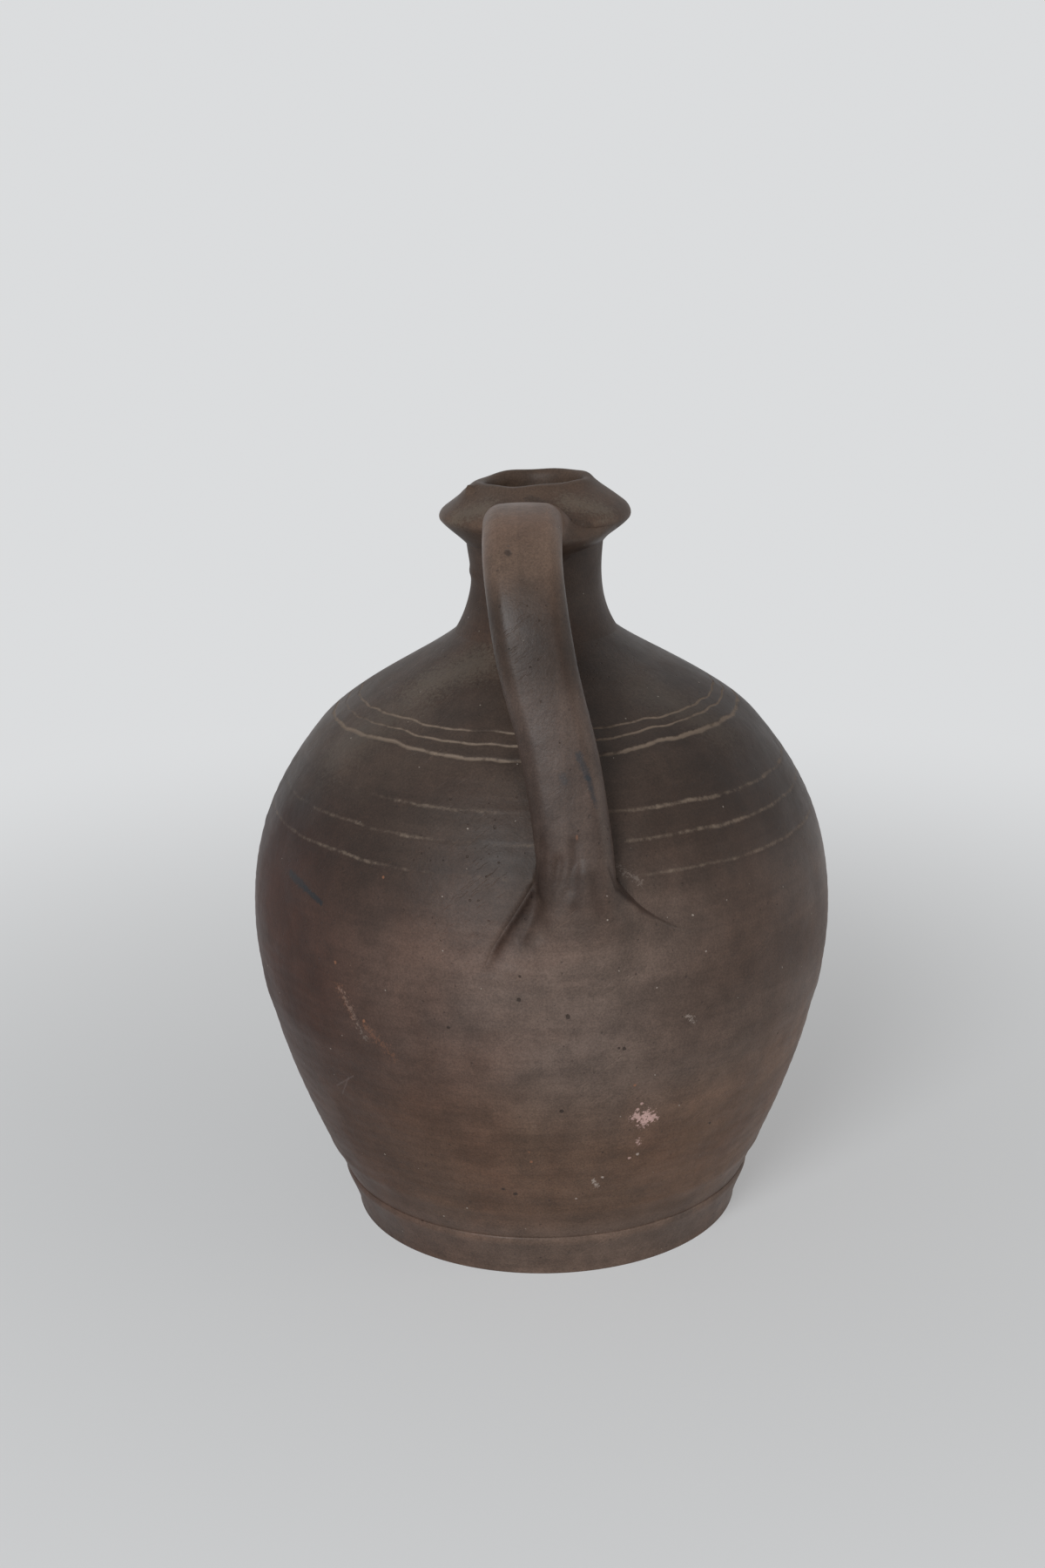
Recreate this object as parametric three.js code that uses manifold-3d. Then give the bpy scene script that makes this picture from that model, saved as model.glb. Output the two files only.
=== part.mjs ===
// A wheel-thrown clay oil jug: round body, short neck, double-cone mouth ring and one strap handle.
// Millimetres, +Z up. The origin is the centre of the flat base on the jug's axis, and the handle is
// on the -Y side. The jug's members are thrown or pulled one by one and meet edge to edge.

import * as THREE from 'three';
import { mergeVertices } from 'three/addons/utils/BufferGeometryUtils.js';
import Module from 'manifold-3d';

// Foot: a shallow dish whose rim is the band that shows around the foot
const footRadius = 76.4;
const bandTopRadius = 81.4;
const bandHeight = 17.4;
const bandStep = 0.5;
const bandEdgeRound = 1.8;
const bandHollow = 1.8;
const floorThickness = 11;
const floorCornerRadius = 14;

// Body
const bellyRadius = 112.3;
const lowerWallHeight = 105.1;
const footSplay = 0.52;
const shoulderTurnRadius = 84.9;
const shoulderTurnRise = 73.5;
const shoulderTurnSlope = 0.82;
const upperWallHeight = 109.8;
const creaseRadius = 31;

// Reach of each curve's handles, as shares of the height or width that the curve spans
const reach = {
  aboveFoot: 0.25,
  belowBelly: 0.3,
  aboveBelly: 0.44,
  belowTurn: 0.29,
  aboveTurn: 0.375,
  belowCrease: 0.25,
  outsideCrease: 0.2,
  neckFoot: 0.3,
  neckTop: 0.4,
};

// Wall thickness at the foot, at the widest circle and at the crease under the neck
const footWall = 9.5;
const bellyWall = 6.8;
const creaseWall = 7;

// Neck. Its curve draws in a little past the radius at its top.
const neckDrawnRadius = 24.6;
const neckTopRadius = 25.2;
const neckLength = 33.7;
const boreRadius = 17.8;

// Collar, two cones back to back with a rounded lip
const collarFootRadius = 26.8;
const collarRadius = 35.8;
const collarUnderHeight = 10.4;
const collarUpperHeight = 13.6;
const collarTopRadius = 23.8;
const collarEdgeRound = 3.2;
const lipCrestRadius = 20.9;
const lipDrop = 2.4;
const lipInnerDrop = 3.6;
const mouthLean = 0.035;

// Cut lines in the shoulder: height above the widest circle, lean (rise per mm along X), depth
const cutLineWidth = 1.7;
const cutLineMargin = 1.1;
const cutLines = [
  { rise: 43.9, lean: -0.023, depth: 0.35 },
  { rise: 54.7, lean: -0.015, depth: 0.35 },
  { rise: 64.2, lean: -0.024, depth: 0.4 },
  { rise: 80.2, lean: 0.006, depth: 0.9 },
  { rise: 84.2, lean: 0.01, depth: 0.9 },
  { rise: 87.5, lean: 0.003, depth: 0.8 },
];

// Handle strap. Its widths are at the collar, at the grip and at the belly.
const strapTopWidth = 28.6;
const strapGripWidth = 25.4;
const strapFootWidth = 27;
const strapThickness = 14.4;
const strapCornerPower = 2.8;

// Strap's middle line: out from inside the collar over the crown and the knuckle, down along the grip,
// and in at the root, from heights above the widest circle
const strapBite = 12;
const strapCrownReach = 16;
const strapCrownRise = 4.1;
const strapBrowReach = 34;
const strapBrowDrop = 1.3;
const strapKnuckleReach = 47;
const strapKnuckleDrop = 14.5;
const strapGripStand = 2;
const strapRootRise = 49.5;
const strapRootStand = 6;
const strapTipRise = 23.5;
const strapTipSink = 8.6;

// Sideways place of the strap's middle at the collar, past the knuckle, at the grip and at the belly
const strapTopOffset = -4;
const strapKnuckleOffset = -3.6;
const strapGripOffset = 7.8;
const strapFootOffset = 13.6;

// Upper root: clay between the strap, the collar's underside and the neck, drawn out into a web at +X
const webDepth = 10;
const webNeckReach = 15;
const webLeftAngle = 26;
const webLeftFootAngle = 16;
const webRightAngle = 52;
const webRightFootAngle = 16;

// Lower root: a fan of clay smeared down and out over the belly
const fanTopDrop = 3;
const fanLength = 37;
const fanThickness = 7.5;
const fanMargin = 1;
const fanLeftFlare = 22;
const fanRightFlare = 26;

// Thickness at a clay patch's rim, and how deep its back lies in the wall before it is cut to its seat
const patchEdge = 0.7;
const patchBurial = 2;

// Gap where a faceted member seats on another
const seatGap = 0.3;

// Fineness of the facets
const turnSegments = 56;
const curveSteps = 7;
const fineSteps = 16;
const strapSections = 22;
const strapSides = 20;

// Heights that follow from the dimensions above
const bellyHeight = bandHeight + lowerWallHeight;
const creaseHeight = bellyHeight + upperWallHeight;
const collarFootHeight = creaseHeight + neckLength;
const collarHeight = collarFootHeight + collarUnderHeight;
const rimHeight = collarHeight + collarUpperHeight;
const wallFootRadius = bandTopRadius - bandStep;

const clay = {
  foot: new THREE.MeshStandardMaterial({ color: 0x5d524e, roughness: 0.62, metalness: 0 }),
  belly: new THREE.MeshStandardMaterial({ color: 0x67574f, roughness: 0.72, metalness: 0 }),
  shoulder: new THREE.MeshStandardMaterial({ color: 0x4d423c, roughness: 0.7, metalness: 0 }),
  neck: new THREE.MeshStandardMaterial({ color: 0x433831, roughness: 0.72, metalness: 0 }),
  collar: new THREE.MeshStandardMaterial({ color: 0x51453d, roughness: 0.72, metalness: 0 }),
  strap: new THREE.MeshStandardMaterial({ color: 0x605248, roughness: 0.6, metalness: 0 }),
  root: new THREE.MeshStandardMaterial({ color: 0x5c4e46, roughness: 0.7, metalness: 0 }),
};

// Profiles are in the (radius, height) plane

function point(radius, height) {
  return new THREE.Vector2(radius, height);
}

function lowerWallOuter(steps = curveSteps) {
  const handle = reach.aboveFoot * lowerWallHeight;
  return new THREE.CubicBezierCurve(
    point(wallFootRadius, bandHeight),
    point(wallFootRadius + footSplay * handle, bandHeight + handle),
    point(bellyRadius, bellyHeight - reach.belowBelly * lowerWallHeight),
    point(bellyRadius, bellyHeight),
  ).getPoints(steps);
}

function upperWallOuter(steps = curveSteps) {
  const turn = point(shoulderTurnRadius, bellyHeight + shoulderTurnRise);
  const slopeHeight = upperWallHeight - shoulderTurnRise;
  const slopeWidth = shoulderTurnRadius - creaseRadius;
  const below = reach.belowTurn * shoulderTurnRise;
  const above = reach.aboveTurn * slopeHeight;
  const bulge = new THREE.CubicBezierCurve(
    point(bellyRadius, bellyHeight),
    point(bellyRadius, bellyHeight + reach.aboveBelly * shoulderTurnRise),
    point(turn.x + below * shoulderTurnSlope, turn.y - below),
    turn,
  );
  const slope = new THREE.CubicBezierCurve(
    turn,
    point(turn.x - above * shoulderTurnSlope, turn.y + above),
    point(creaseRadius + reach.outsideCrease * slopeWidth, creaseHeight - reach.belowCrease * slopeHeight),
    point(creaseRadius, creaseHeight),
  );
  return [...bulge.getPoints(steps), ...slope.getPoints(Math.ceil(0.7 * steps)).slice(1)];
}

function neckOuter(steps = curveSteps) {
  return new THREE.CubicBezierCurve(
    point(creaseRadius, creaseHeight),
    point(neckDrawnRadius, creaseHeight + reach.neckFoot * neckLength),
    point(neckDrawnRadius, collarFootHeight - reach.neckTop * neckLength),
    point(neckTopRadius, collarFootHeight),
  ).getPoints(steps);
}

// Collar's outside, from its foot round the edge and up to the lip's crest
function collarOuter() {
  const foot = point(collarFootRadius, collarFootHeight);
  const edge = point(collarRadius, collarHeight);
  const top = point(collarTopRadius, rimHeight - lipDrop);
  const below = edge.clone().lerp(foot, collarEdgeRound / edge.distanceTo(foot));
  const above = edge.clone().lerp(top, collarEdgeRound / edge.distanceTo(top));
  const noseControl = point(2 * collarRadius - (below.x + above.x) / 2, collarHeight);
  const nose = new THREE.QuadraticBezierCurve(below, noseControl, above);
  const lip = new THREE.QuadraticBezierCurve(
    top,
    point((collarTopRadius + lipCrestRadius) / 2, rimHeight),
    point(lipCrestRadius, rimHeight),
  );
  return [foot, ...nose.getPoints(4), ...lip.getPoints(3)];
}

function radiusAt(profile, height) {
  const above = profile.findIndex((p) => p.y >= height);
  if (above === -1) {
    return profile[profile.length - 1].x;
  }
  if (above === 0) {
    return profile[0].x;
  }
  const [a, b] = [profile[above - 1], profile[above]];
  return THREE.MathUtils.mapLinear(height, a.y, b.y, a.x, b.x);
}

// Each point of a profile moved to the left of its run, which is the inside of a wall drawn upwards
function offsetProfile(profile, startOffset, endOffset) {
  return profile.map((p, i) => {
    const before = profile[Math.max(i - 1, 0)];
    const after = profile[Math.min(i + 1, profile.length - 1)];
    const along = after.clone().sub(before).normalize();
    const offset = THREE.MathUtils.lerp(startOffset, endOffset, i / (profile.length - 1));
    return point(p.x - along.y * offset, p.y + along.x * offset);
  });
}

// Solids of revolution about +Z. A closed profile makes a ring, an open one ends on the axis.
function turned(profile) {
  const geometry = new THREE.LatheGeometry(profile, turnSegments);
  return geometry.rotateX(Math.PI / 2);
}

function closedLoop(points) {
  return [...points, points[0].clone()];
}

// The mouth was pressed over a little: it leans towards -X, from the collar's edge up
function leanMouth(geometry) {
  const position = geometry.attributes.position;
  for (let i = 0; i < position.count; i++) {
    const share = THREE.MathUtils.clamp((position.getZ(i) - collarHeight) / collarUpperHeight, 0, 1);
    position.setZ(i, position.getZ(i) + mouthLean * share * position.getX(i));
  }
  return geometry;
}

// Booleans

const manifoldModule = await Module();
manifoldModule.setup();

function toSolid(geometry) {
  const bare = geometry.clone();
  bare.deleteAttribute('normal');
  bare.deleteAttribute('uv');
  const merged = mergeVertices(bare, 1e-4);
  return new manifoldModule.Manifold(
    new manifoldModule.Mesh({
      numProp: 3,
      vertProperties: new Float32Array(merged.attributes.position.array),
      triVerts: new Uint32Array(merged.index.array),
    }),
  );
}

function toGeometry(solid) {
  const mesh = solid.getMesh();
  const geometry = new THREE.BufferGeometry();
  geometry.setAttribute('position', new THREE.BufferAttribute(mesh.vertProperties, 3));
  geometry.setIndex(new THREE.BufferAttribute(mesh.triVerts, 1));
  geometry.computeVertexNormals();
  return geometry;
}

function indexedGeometry(points, index) {
  const geometry = new THREE.BufferGeometry();
  const flat = points.flatMap((p) => [p.x, p.y, p.z]);
  geometry.setAttribute('position', new THREE.Float32BufferAttribute(flat, 3));
  geometry.setIndex(index);
  return geometry;
}

// Closed skin over a stack of equal rings of points, with a flat end at each side
function loft(rings) {
  const count = rings[0].length;
  const last = rings.length - 1;
  const middles = [rings[0], rings[last]].map((ring) =>
    ring.reduce((sum, p) => sum.add(p), new THREE.Vector3()).divideScalar(count),
  );
  const [startMiddle, endMiddle] = [count * rings.length, count * rings.length + 1];
  const index = [];
  for (let i = 0; i < count; i++) {
    const next = (i + 1) % count;
    for (let ring = 0; ring < last; ring++) {
      const [a, b] = [ring * count + i, ring * count + next];
      index.push(a, b + count, b, a, a + count, b + count);
    }
    index.push(startMiddle, i, next);
    index.push(endMiddle, last * count + next, last * count + i);
  }
  return indexedGeometry([...rings.flat(), ...middles], index);
}

// Members of the body

function footBase() {
  const innerRadius = wallFootRadius - footWall;
  const side = new THREE.QuadraticBezierCurve(
    point(footRadius, 0),
    point((footRadius + bandTopRadius) / 2 - bandHollow, bandHeight / 2),
    point(bandTopRadius, bandHeight - bandEdgeRound),
  );
  const edge = new THREE.QuadraticBezierCurve(
    point(bandTopRadius, bandHeight - bandEdgeRound),
    point(bandTopRadius, bandHeight),
    point(wallFootRadius, bandHeight),
  );
  const corner = new THREE.QuadraticBezierCurve(
    point(innerRadius, bandHeight),
    point(innerRadius, floorThickness),
    point(innerRadius - floorCornerRadius, floorThickness),
  );
  return turned([
    point(0, 0),
    ...side.getPoints(3),
    ...edge.getPoints(2).slice(1),
    ...corner.getPoints(4),
    point(0, floorThickness),
  ]);
}

function bellyWallShell() {
  const outer = lowerWallOuter();
  const inner = offsetProfile(outer, footWall, bellyWall);
  inner[0] = point(wallFootRadius - footWall, bandHeight);
  inner[inner.length - 1] = point(bellyRadius - bellyWall, bellyHeight);
  return turned(closedLoop([...outer, ...inner.reverse()]));
}

// Lean of the cut lines at a height, blended from line to line and fading out at both joints
function leanAt(height) {
  const stations = [
    point(0, bellyHeight),
    ...cutLines.map((line) => point(line.lean, bellyHeight + line.rise)),
    point(0, creaseHeight),
  ];
  return radiusAt(stations, height);
}

function shoulderWallShell() {
  const smooth = upperWallOuter(fineSteps);
  const plain = upperWallOuter().filter((p) =>
    cutLines.every((line) => Math.abs(p.y - bellyHeight - line.rise) > cutLineMargin + cutLineWidth / 2),
  );
  const cuts = cutLines.flatMap((line) => {
    const middle = bellyHeight + line.rise;
    const [low, high] = [middle - cutLineWidth / 2, middle + cutLineWidth / 2];
    return [
      point(radiusAt(smooth, low), low),
      point(radiusAt(smooth, middle) - line.depth, middle),
      point(radiusAt(smooth, high), high),
    ];
  });
  const outer = [...plain, ...cuts].sort((a, b) => a.y - b.y);
  const inner = offsetProfile(upperWallOuter(), bellyWall, creaseWall);
  inner[0] = point(bellyRadius - bellyWall, bellyHeight);
  inner[inner.length - 1] = point(boreRadius, creaseHeight);
  const profile = closedLoop([...outer, ...inner.reverse()]);
  const geometry = turned(profile);

  // Each outer ring leans with its line and keeps to the wall's curve
  const position = geometry.attributes.position;
  for (let i = 0; i < position.count; i++) {
    const ring = outer[i % profile.length];
    if (ring) {
      const cut = ring.x - radiusAt(smooth, ring.y);
      const leaned = ring.y + leanAt(ring.y) * position.getX(i);
      const share = (radiusAt(smooth, leaned) + cut) / ring.x;
      position.setXYZ(i, share * position.getX(i), share * position.getY(i), leaned);
    }
  }
  return geometry;
}

function neckTube() {
  const bore = [point(boreRadius, collarFootHeight), point(boreRadius, creaseHeight)];
  return turned(closedLoop([...neckOuter(), ...bore]));
}

function collarRing() {
  const lipInside = new THREE.QuadraticBezierCurve(
    point(lipCrestRadius, rimHeight),
    point(boreRadius, rimHeight),
    point(boreRadius, rimHeight - lipInnerDrop),
  );
  const throat = point(boreRadius, collarFootHeight);
  return leanMouth(turned(closedLoop([...collarOuter(), ...lipInside.getPoints(3).slice(1), throat])));
}

// The jug's whole outside grown by the seat gap, as one plug that the handle's members are cut to
function seatEnvelope() {
  const outline = [
    ...lowerWallOuter(fineSteps),
    ...upperWallOuter(fineSteps).slice(1),
    ...neckOuter(fineSteps).slice(1),
    ...collarOuter(),
  ];
  const grown = offsetProfile(outline, -seatGap, -seatGap);
  const bottom = point(0, bandHeight);
  const top = point(0, rimHeight + seatGap);
  return leanMouth(turned([bottom, point(grown[0].x, bandHeight), ...grown.slice(1), top]));
}

// Handle strap

const outside = [...lowerWallOuter(fineSteps), ...upperWallOuter(fineSteps).slice(1)];
const strapRootHeight = bellyHeight + strapRootRise;
const strapTipHeight = bellyHeight + strapTipRise;
const strapRootRadius = radiusAt(outside, strapRootHeight);

// Middle line of the strap in the (distance out, height) plane, from inside the collar to inside the wall
function strapLine() {
  const knuckle = point(collarRadius + strapKnuckleReach, collarHeight - strapKnuckleDrop);
  const root = point(strapRootRadius + strapRootStand, strapRootHeight);
  const stations = [
    point(collarRadius - strapBite, collarHeight),
    point(collarRadius + strapCrownReach, collarHeight + strapCrownRise),
    point(collarRadius + strapBrowReach, collarHeight - strapBrowDrop),
    knuckle,
    point((knuckle.x + root.x) / 2 + strapGripStand, (knuckle.y + root.y) / 2),
    root,
    point(radiusAt(outside, strapTipHeight) - strapTipSink, strapTipHeight),
  ];
  const line = stations.map((p) => new THREE.Vector3(0, -p.x, p.y));
  return new THREE.CatmullRomCurve3(line, false, 'centripetal');
}

// Rounded-rectangle sections along the line, grown on all sides where a seat is cut with them
function strapSolid(growth = 0) {
  const line = strapLine();
  const widths = new THREE.SplineCurve([
    point(0, strapTopWidth),
    point(0.55, strapGripWidth),
    point(1, strapFootWidth),
  ]);
  const offsets = new THREE.SplineCurve([
    point(0, strapTopOffset),
    point(0.3, strapKnuckleOffset),
    point(0.65, strapGripOffset),
    point(1, strapFootOffset),
  ]);
  const rounded = (value) => Math.sign(value) * Math.abs(value) ** (2 / strapCornerPower);
  const rings = [];
  for (let i = 0; i <= strapSections; i++) {
    const share = i / strapSections;
    const centre = line.getPointAt(share);
    const along = line.getTangentAt(share);
    const outwards = new THREE.Vector3(0, -along.z, along.y);
    centre.x = offsets.getPoint(share).y;
    const halfWidth = widths.getPoint(share).y / 2 + growth;
    const halfThickness = strapThickness / 2 + growth;
    const ring = [];
    for (let j = 0; j < strapSides; j++) {
      const angle = (2 * Math.PI * (j + 0.5)) / strapSides;
      const sideways = new THREE.Vector3(halfWidth * rounded(Math.cos(angle)), 0, 0);
      const depth = halfThickness * rounded(Math.sin(angle));
      ring.push(centre.clone().add(sideways).addScaledVector(outwards, depth));
    }
    rings.push(ring);
  }
  return toSolid(loft(rings));
}

// Clay patch over a surface of revolution. radius(height) is the surface, and the patch runs from
// azimuth left(t) to right(t) and from the first height to the last as t goes from 0 to 1. Azimuths are
// in degrees from the handle's side, + towards +X. thickness(side, t) is radial, side from -1 to 1.
// The patch is buried in the wall, and the seat envelope cuts it back.
function clayPatch({ radius, fromHeight, toHeight, left, right, thickness, rows, columns }) {
  const outer = [];
  const inner = [];
  for (let i = 0; i <= rows; i++) {
    const t = i / rows;
    const height = THREE.MathUtils.lerp(fromHeight, toHeight, t);
    const wall = radius(height);
    for (let j = 0; j <= columns; j++) {
      const side = -1 + (2 * j) / columns;
      const azimuth = THREE.MathUtils.degToRad(THREE.MathUtils.lerp(left(t), right(t), j / columns));
      const place = (r) => new THREE.Vector3(r * Math.sin(azimuth), -r * Math.cos(azimuth), height);
      outer.push(place(wall + seatGap + Math.max(thickness(side, t), patchEdge)));
      inner.push(place(wall - patchBurial));
    }
  }
  const wide = columns + 1;
  const shift = outer.length;
  const index = [];
  const quad = (a, b, c, d) => index.push(a, c, b, a, d, c);
  for (let i = 0; i < rows; i++) {
    for (let j = 0; j < columns; j++) {
      const a = i * wide + j;
      quad(a, a + wide, a + wide + 1, a + 1);
      quad(a + shift, a + shift + 1, a + shift + wide + 1, a + shift + wide);
    }
    const [l, r] = [i * wide, i * wide + columns];
    quad(l, l + shift, l + shift + wide, l + wide);
    quad(r, r + wide, r + wide + shift, r + shift);
  }
  for (let j = 0; j < columns; j++) {
    const last = rows * wide + j;
    quad(j, j + 1, j + 1 + shift, j + shift);
    quad(last, last + shift, last + 1 + shift, last + 1);
  }
  return indexedGeometry([...outer, ...inner], index);
}

function upperRootPatch() {
  const under = [...neckOuter(fineSteps), ...collarOuter()];
  return leanMouth(
    clayPatch({
      radius: (height) => radiusAt(under, height),
      fromHeight: collarFootHeight - webNeckReach,
      toHeight: collarHeight - collarEdgeRound,
      left: (t) => -THREE.MathUtils.lerp(webLeftFootAngle, webLeftAngle, t),
      right: (t) => THREE.MathUtils.lerp(webRightFootAngle, webRightAngle, t ** 0.8),
      thickness: (side, t) => {
        const across = 1 - Math.abs(side) ** 2.4;
        const along = Math.sin(Math.PI * (0.06 + 0.94 * t ** 1.7)) ** 0.8 || 0;
        return webDepth * across * along;
      },
      rows: 8,
      columns: 12,
    }),
  );
}

function lowerRootPatch() {
  const top = strapRootHeight - fanTopDrop;
  const strapEdge = strapFootWidth / 2 + fanMargin;
  const azimuthOf = (offset) => THREE.MathUtils.radToDeg(Math.asin(offset / strapRootRadius));
  return clayPatch({
    radius: (height) => radiusAt(outside, height),
    fromHeight: top - fanLength,
    toHeight: top,
    left: (t) => azimuthOf(strapFootOffset - strapEdge - fanLeftFlare * (1 - t) ** 0.8),
    right: (t) => azimuthOf(strapFootOffset + strapEdge + fanRightFlare * (1 - t)),
    thickness: (side, t) => {
      const across = (1 - Math.abs(side) ** 3) ** 0.7;
      const down = Math.min(1, (1.15 * t) ** 1.1) * (1 - 0.55 * t ** 6);
      return fanThickness * across * down;
    },
    rows: 11,
    columns: 14,
  });
}

const envelope = toSolid(seatEnvelope());
const strapPlug = strapSolid(seatGap);
const strapGeometry = toGeometry(strapSolid().subtract(envelope));
const upperRootGeometry = toGeometry(toSolid(upperRootPatch()).subtract(envelope).subtract(strapPlug));
const lowerRootGeometry = toGeometry(toSolid(lowerRootPatch()).subtract(envelope).subtract(strapPlug));

const jug = new THREE.Group();

function addMember(name, geometry, material) {
  const mesh = new THREE.Mesh(geometry, material);
  mesh.name = name;
  jug.add(mesh);
}

addMember('foot_base', footBase(), clay.foot);
addMember('belly_wall', bellyWallShell(), clay.belly);
addMember('shoulder_wall', shoulderWallShell(), clay.shoulder);
addMember('neck', neckTube(), clay.neck);
addMember('collar', collarRing(), clay.collar);
addMember('handle_strap', strapGeometry, clay.strap);
addMember('upper_handle_root', upperRootGeometry, clay.root);
addMember('lower_handle_root', lowerRootGeometry, clay.root);

export default jug;
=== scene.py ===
# Looks for a wheel-thrown clay oil jug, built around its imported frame. Blender 4.5, metres, +Z up.
# The handle is on the -Y side. Shapes are worked out in millimetres and written to the meshes in metres.

import bmesh
import bpy
import numpy as np
from mathutils import Matrix, Vector


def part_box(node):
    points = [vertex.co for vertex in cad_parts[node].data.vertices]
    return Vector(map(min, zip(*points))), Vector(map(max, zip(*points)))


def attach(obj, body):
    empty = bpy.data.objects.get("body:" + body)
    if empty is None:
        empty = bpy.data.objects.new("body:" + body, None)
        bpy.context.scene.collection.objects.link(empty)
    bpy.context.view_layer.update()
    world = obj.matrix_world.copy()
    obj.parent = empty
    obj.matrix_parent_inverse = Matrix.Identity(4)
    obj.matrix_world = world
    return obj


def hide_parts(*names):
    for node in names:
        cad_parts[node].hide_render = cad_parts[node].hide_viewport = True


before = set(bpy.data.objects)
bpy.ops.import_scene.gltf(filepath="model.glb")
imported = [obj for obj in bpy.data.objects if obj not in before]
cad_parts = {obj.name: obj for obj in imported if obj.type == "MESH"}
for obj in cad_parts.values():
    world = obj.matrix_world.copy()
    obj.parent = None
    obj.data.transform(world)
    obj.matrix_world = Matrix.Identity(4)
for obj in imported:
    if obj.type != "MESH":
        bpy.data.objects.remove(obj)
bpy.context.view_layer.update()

MM = 0.001

# Camera, at the photograph's place: a 50 mm lens, looking down by about 16 degrees

CAMERA_PLACE = Vector((0, -0.81207, 0.41189))
CAMERA_FORWARD = Vector((-0.00768, 0.95845, -0.28515))
CAMERA_UP = Vector((0.01861, 0.28525, 0.95827))

lens = bpy.data.cameras.new("camera")
lens.lens = 50
lens.sensor_width = 36
camera = bpy.data.objects.new("camera", lens)
bpy.context.scene.collection.objects.link(camera)
across = CAMERA_FORWARD.cross(CAMERA_UP).normalized()
upright = across.cross(CAMERA_FORWARD).normalized()
aimed = Matrix((across, upright, -CAMERA_FORWARD.normalized())).transposed()
camera.matrix_world = Matrix.Translation(CAMERA_PLACE) @ aimed.to_4x4()
bpy.context.scene.camera = camera
bpy.context.scene.view_settings.view_transform = "Standard"

# Curves and steps


def ease(low, high, value):
    """Smooth step from 0 at low to 1 at high."""
    share = np.clip((np.asarray(value, float) - low) / (high - low), 0, 1)
    return share * share * (3 - 2 * share)


def hump(value, middle, width):
    """Smooth bump of height 1 at middle."""
    return np.exp(-(((value - middle) / width) ** 2))


def bezier(points, steps):
    """Points along a Bezier curve of any degree."""
    t = np.linspace(0, 1, steps + 1)[:, None]
    rows = [np.ones_like(t) * np.array(p, float) for p in points]
    while len(rows) > 1:
        rows = [(1 - t) * a + t * b for a, b in zip(rows, rows[1:])]
    return rows[0]


def flow(knots, values, at):
    """Smooth curve through values at rising knots."""
    knots, values, at = (np.asarray(a, float) for a in (knots, values, at))
    slopes = np.gradient(values, knots, axis=0)
    span = np.clip(np.searchsorted(knots, at, side="right") - 1, 0, len(knots) - 2)
    width = knots[span + 1] - knots[span]
    t = np.clip((at - knots[span]) / width, 0, 1)
    if values.ndim > 1:
        t, width = t[:, None], width[:, None]
    a, b = values[span], values[span + 1]
    rise_a, rise_b = slopes[span] * width, slopes[span + 1] * width
    cube, square = t**3, t**2
    return (
        (2 * cube - 3 * square + 1) * a
        + (cube - 2 * square + t) * rise_a
        + (3 * square - 2 * cube) * b
        + (cube - square) * rise_b
    )


def ripple(angle, waves, seed):
    """Uneven wave round the axis, within about -1 to 1."""
    dice = np.random.default_rng(seed)
    phases = dice.uniform(0, 2 * np.pi, len(waves))
    return sum(np.sin(n * angle + p) for n, p in zip(waves, phases)) / len(waves) ** 0.5


# Outline of the jug in the (radius, height) plane, in mm, with joint heights taken from the frame

band_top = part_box("foot_base")[1].z / MM
belly_radius, belly_height = (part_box("belly_wall")[1][axis] / MM for axis in (0, 2))
crease_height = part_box("shoulder_wall")[1].z / MM
collar_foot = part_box("collar")[0].z / MM
collar_edge = 276.4
rim_height = 290.0
bore_radius = 17.8
wall_foot_radius = 80.9
mouth_lean = 0.035
foot_wall = 9.5
belly_wall = 6.8
crease_wall = 7
floor_height = 11

widest = (belly_radius, belly_height)
turn = (84.9, 196)
crease = (31, crease_height)
neck_top = (25.8, collar_foot)
nose_foot = (35.3, 275.0)
nose_top = (33.9, 279.7)
cone_top = (24.1, 287.7)
lip_crest = (20.6, rim_height)
belly_line = bezier([(wall_foot_radius, band_top), (94.6, 43.7), (belly_radius, 91), widest], 88)
bulge_line = bezier([widest, (belly_radius, 154.8), (102.4, 174.7), turn], 160)
slope_line = bezier([turn, (73.7, 209.6), (41.8, 223.2), crease], 160)
shoulder_line = np.vstack([bulge_line, slope_line[1:]])
neck_line = bezier([crease, (24.6, 242.4), (24.4, 252.5), neck_top], 40)
under_line = bezier([neck_top, (28.8, 269.4), (32.4, 271.6), nose_foot], 18)
nose_line = bezier([nose_foot, (36.1, 276.0), (36.0, 277.9), nose_top], 12)
cone_line = bezier([nose_top, (30.9, 282.0), (26.6, 285.5), cone_top], 12)
lip_line = bezier([cone_top, (22.9, 288.8), (22.3, rim_height), lip_crest], 7)
throat_line = bezier([lip_crest, (19.0, rim_height), (17.9, 288.8), (bore_radius, 285.6)], 8)
collar_line = np.vstack([under_line, nose_line[1:], cone_line[1:], lip_line[1:]])
outside = np.vstack([belly_line, shoulder_line[1:], neck_line[1:], collar_line[1:]])


def radius_at(height):
    return np.interp(height, outside[:, 1], outside[:, 0])


def inner_line(line, start, end, steps):
    """Inside of a wall: the line moved inwards, thinned to a few steps and run downwards."""
    slope = np.gradient(line, axis=0)
    slope /= np.linalg.norm(slope, axis=1)[:, None]
    depth = np.linspace(start, end, len(line))[:, None]
    moved = line + depth * np.c_[-slope[:, 1], slope[:, 0]]
    picks = np.linspace(0, len(line) - 1, steps).round().astype(int)
    return moved[picks][::-1]


# Meshes. Angles turn from the handle towards +X, and marks are shares from 0 to 1 that the clay reads.

SEGMENTS = 600
ANGLES = 2 * np.pi * np.arange(SEGMENTS) / SEGMENTS
# The fourth mark is painted shade, laid in the handle's hollows and on the strap's left flank.
MARKS = ("residue", "wear_and_highlight", "pulled", "painted_shade")


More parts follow.
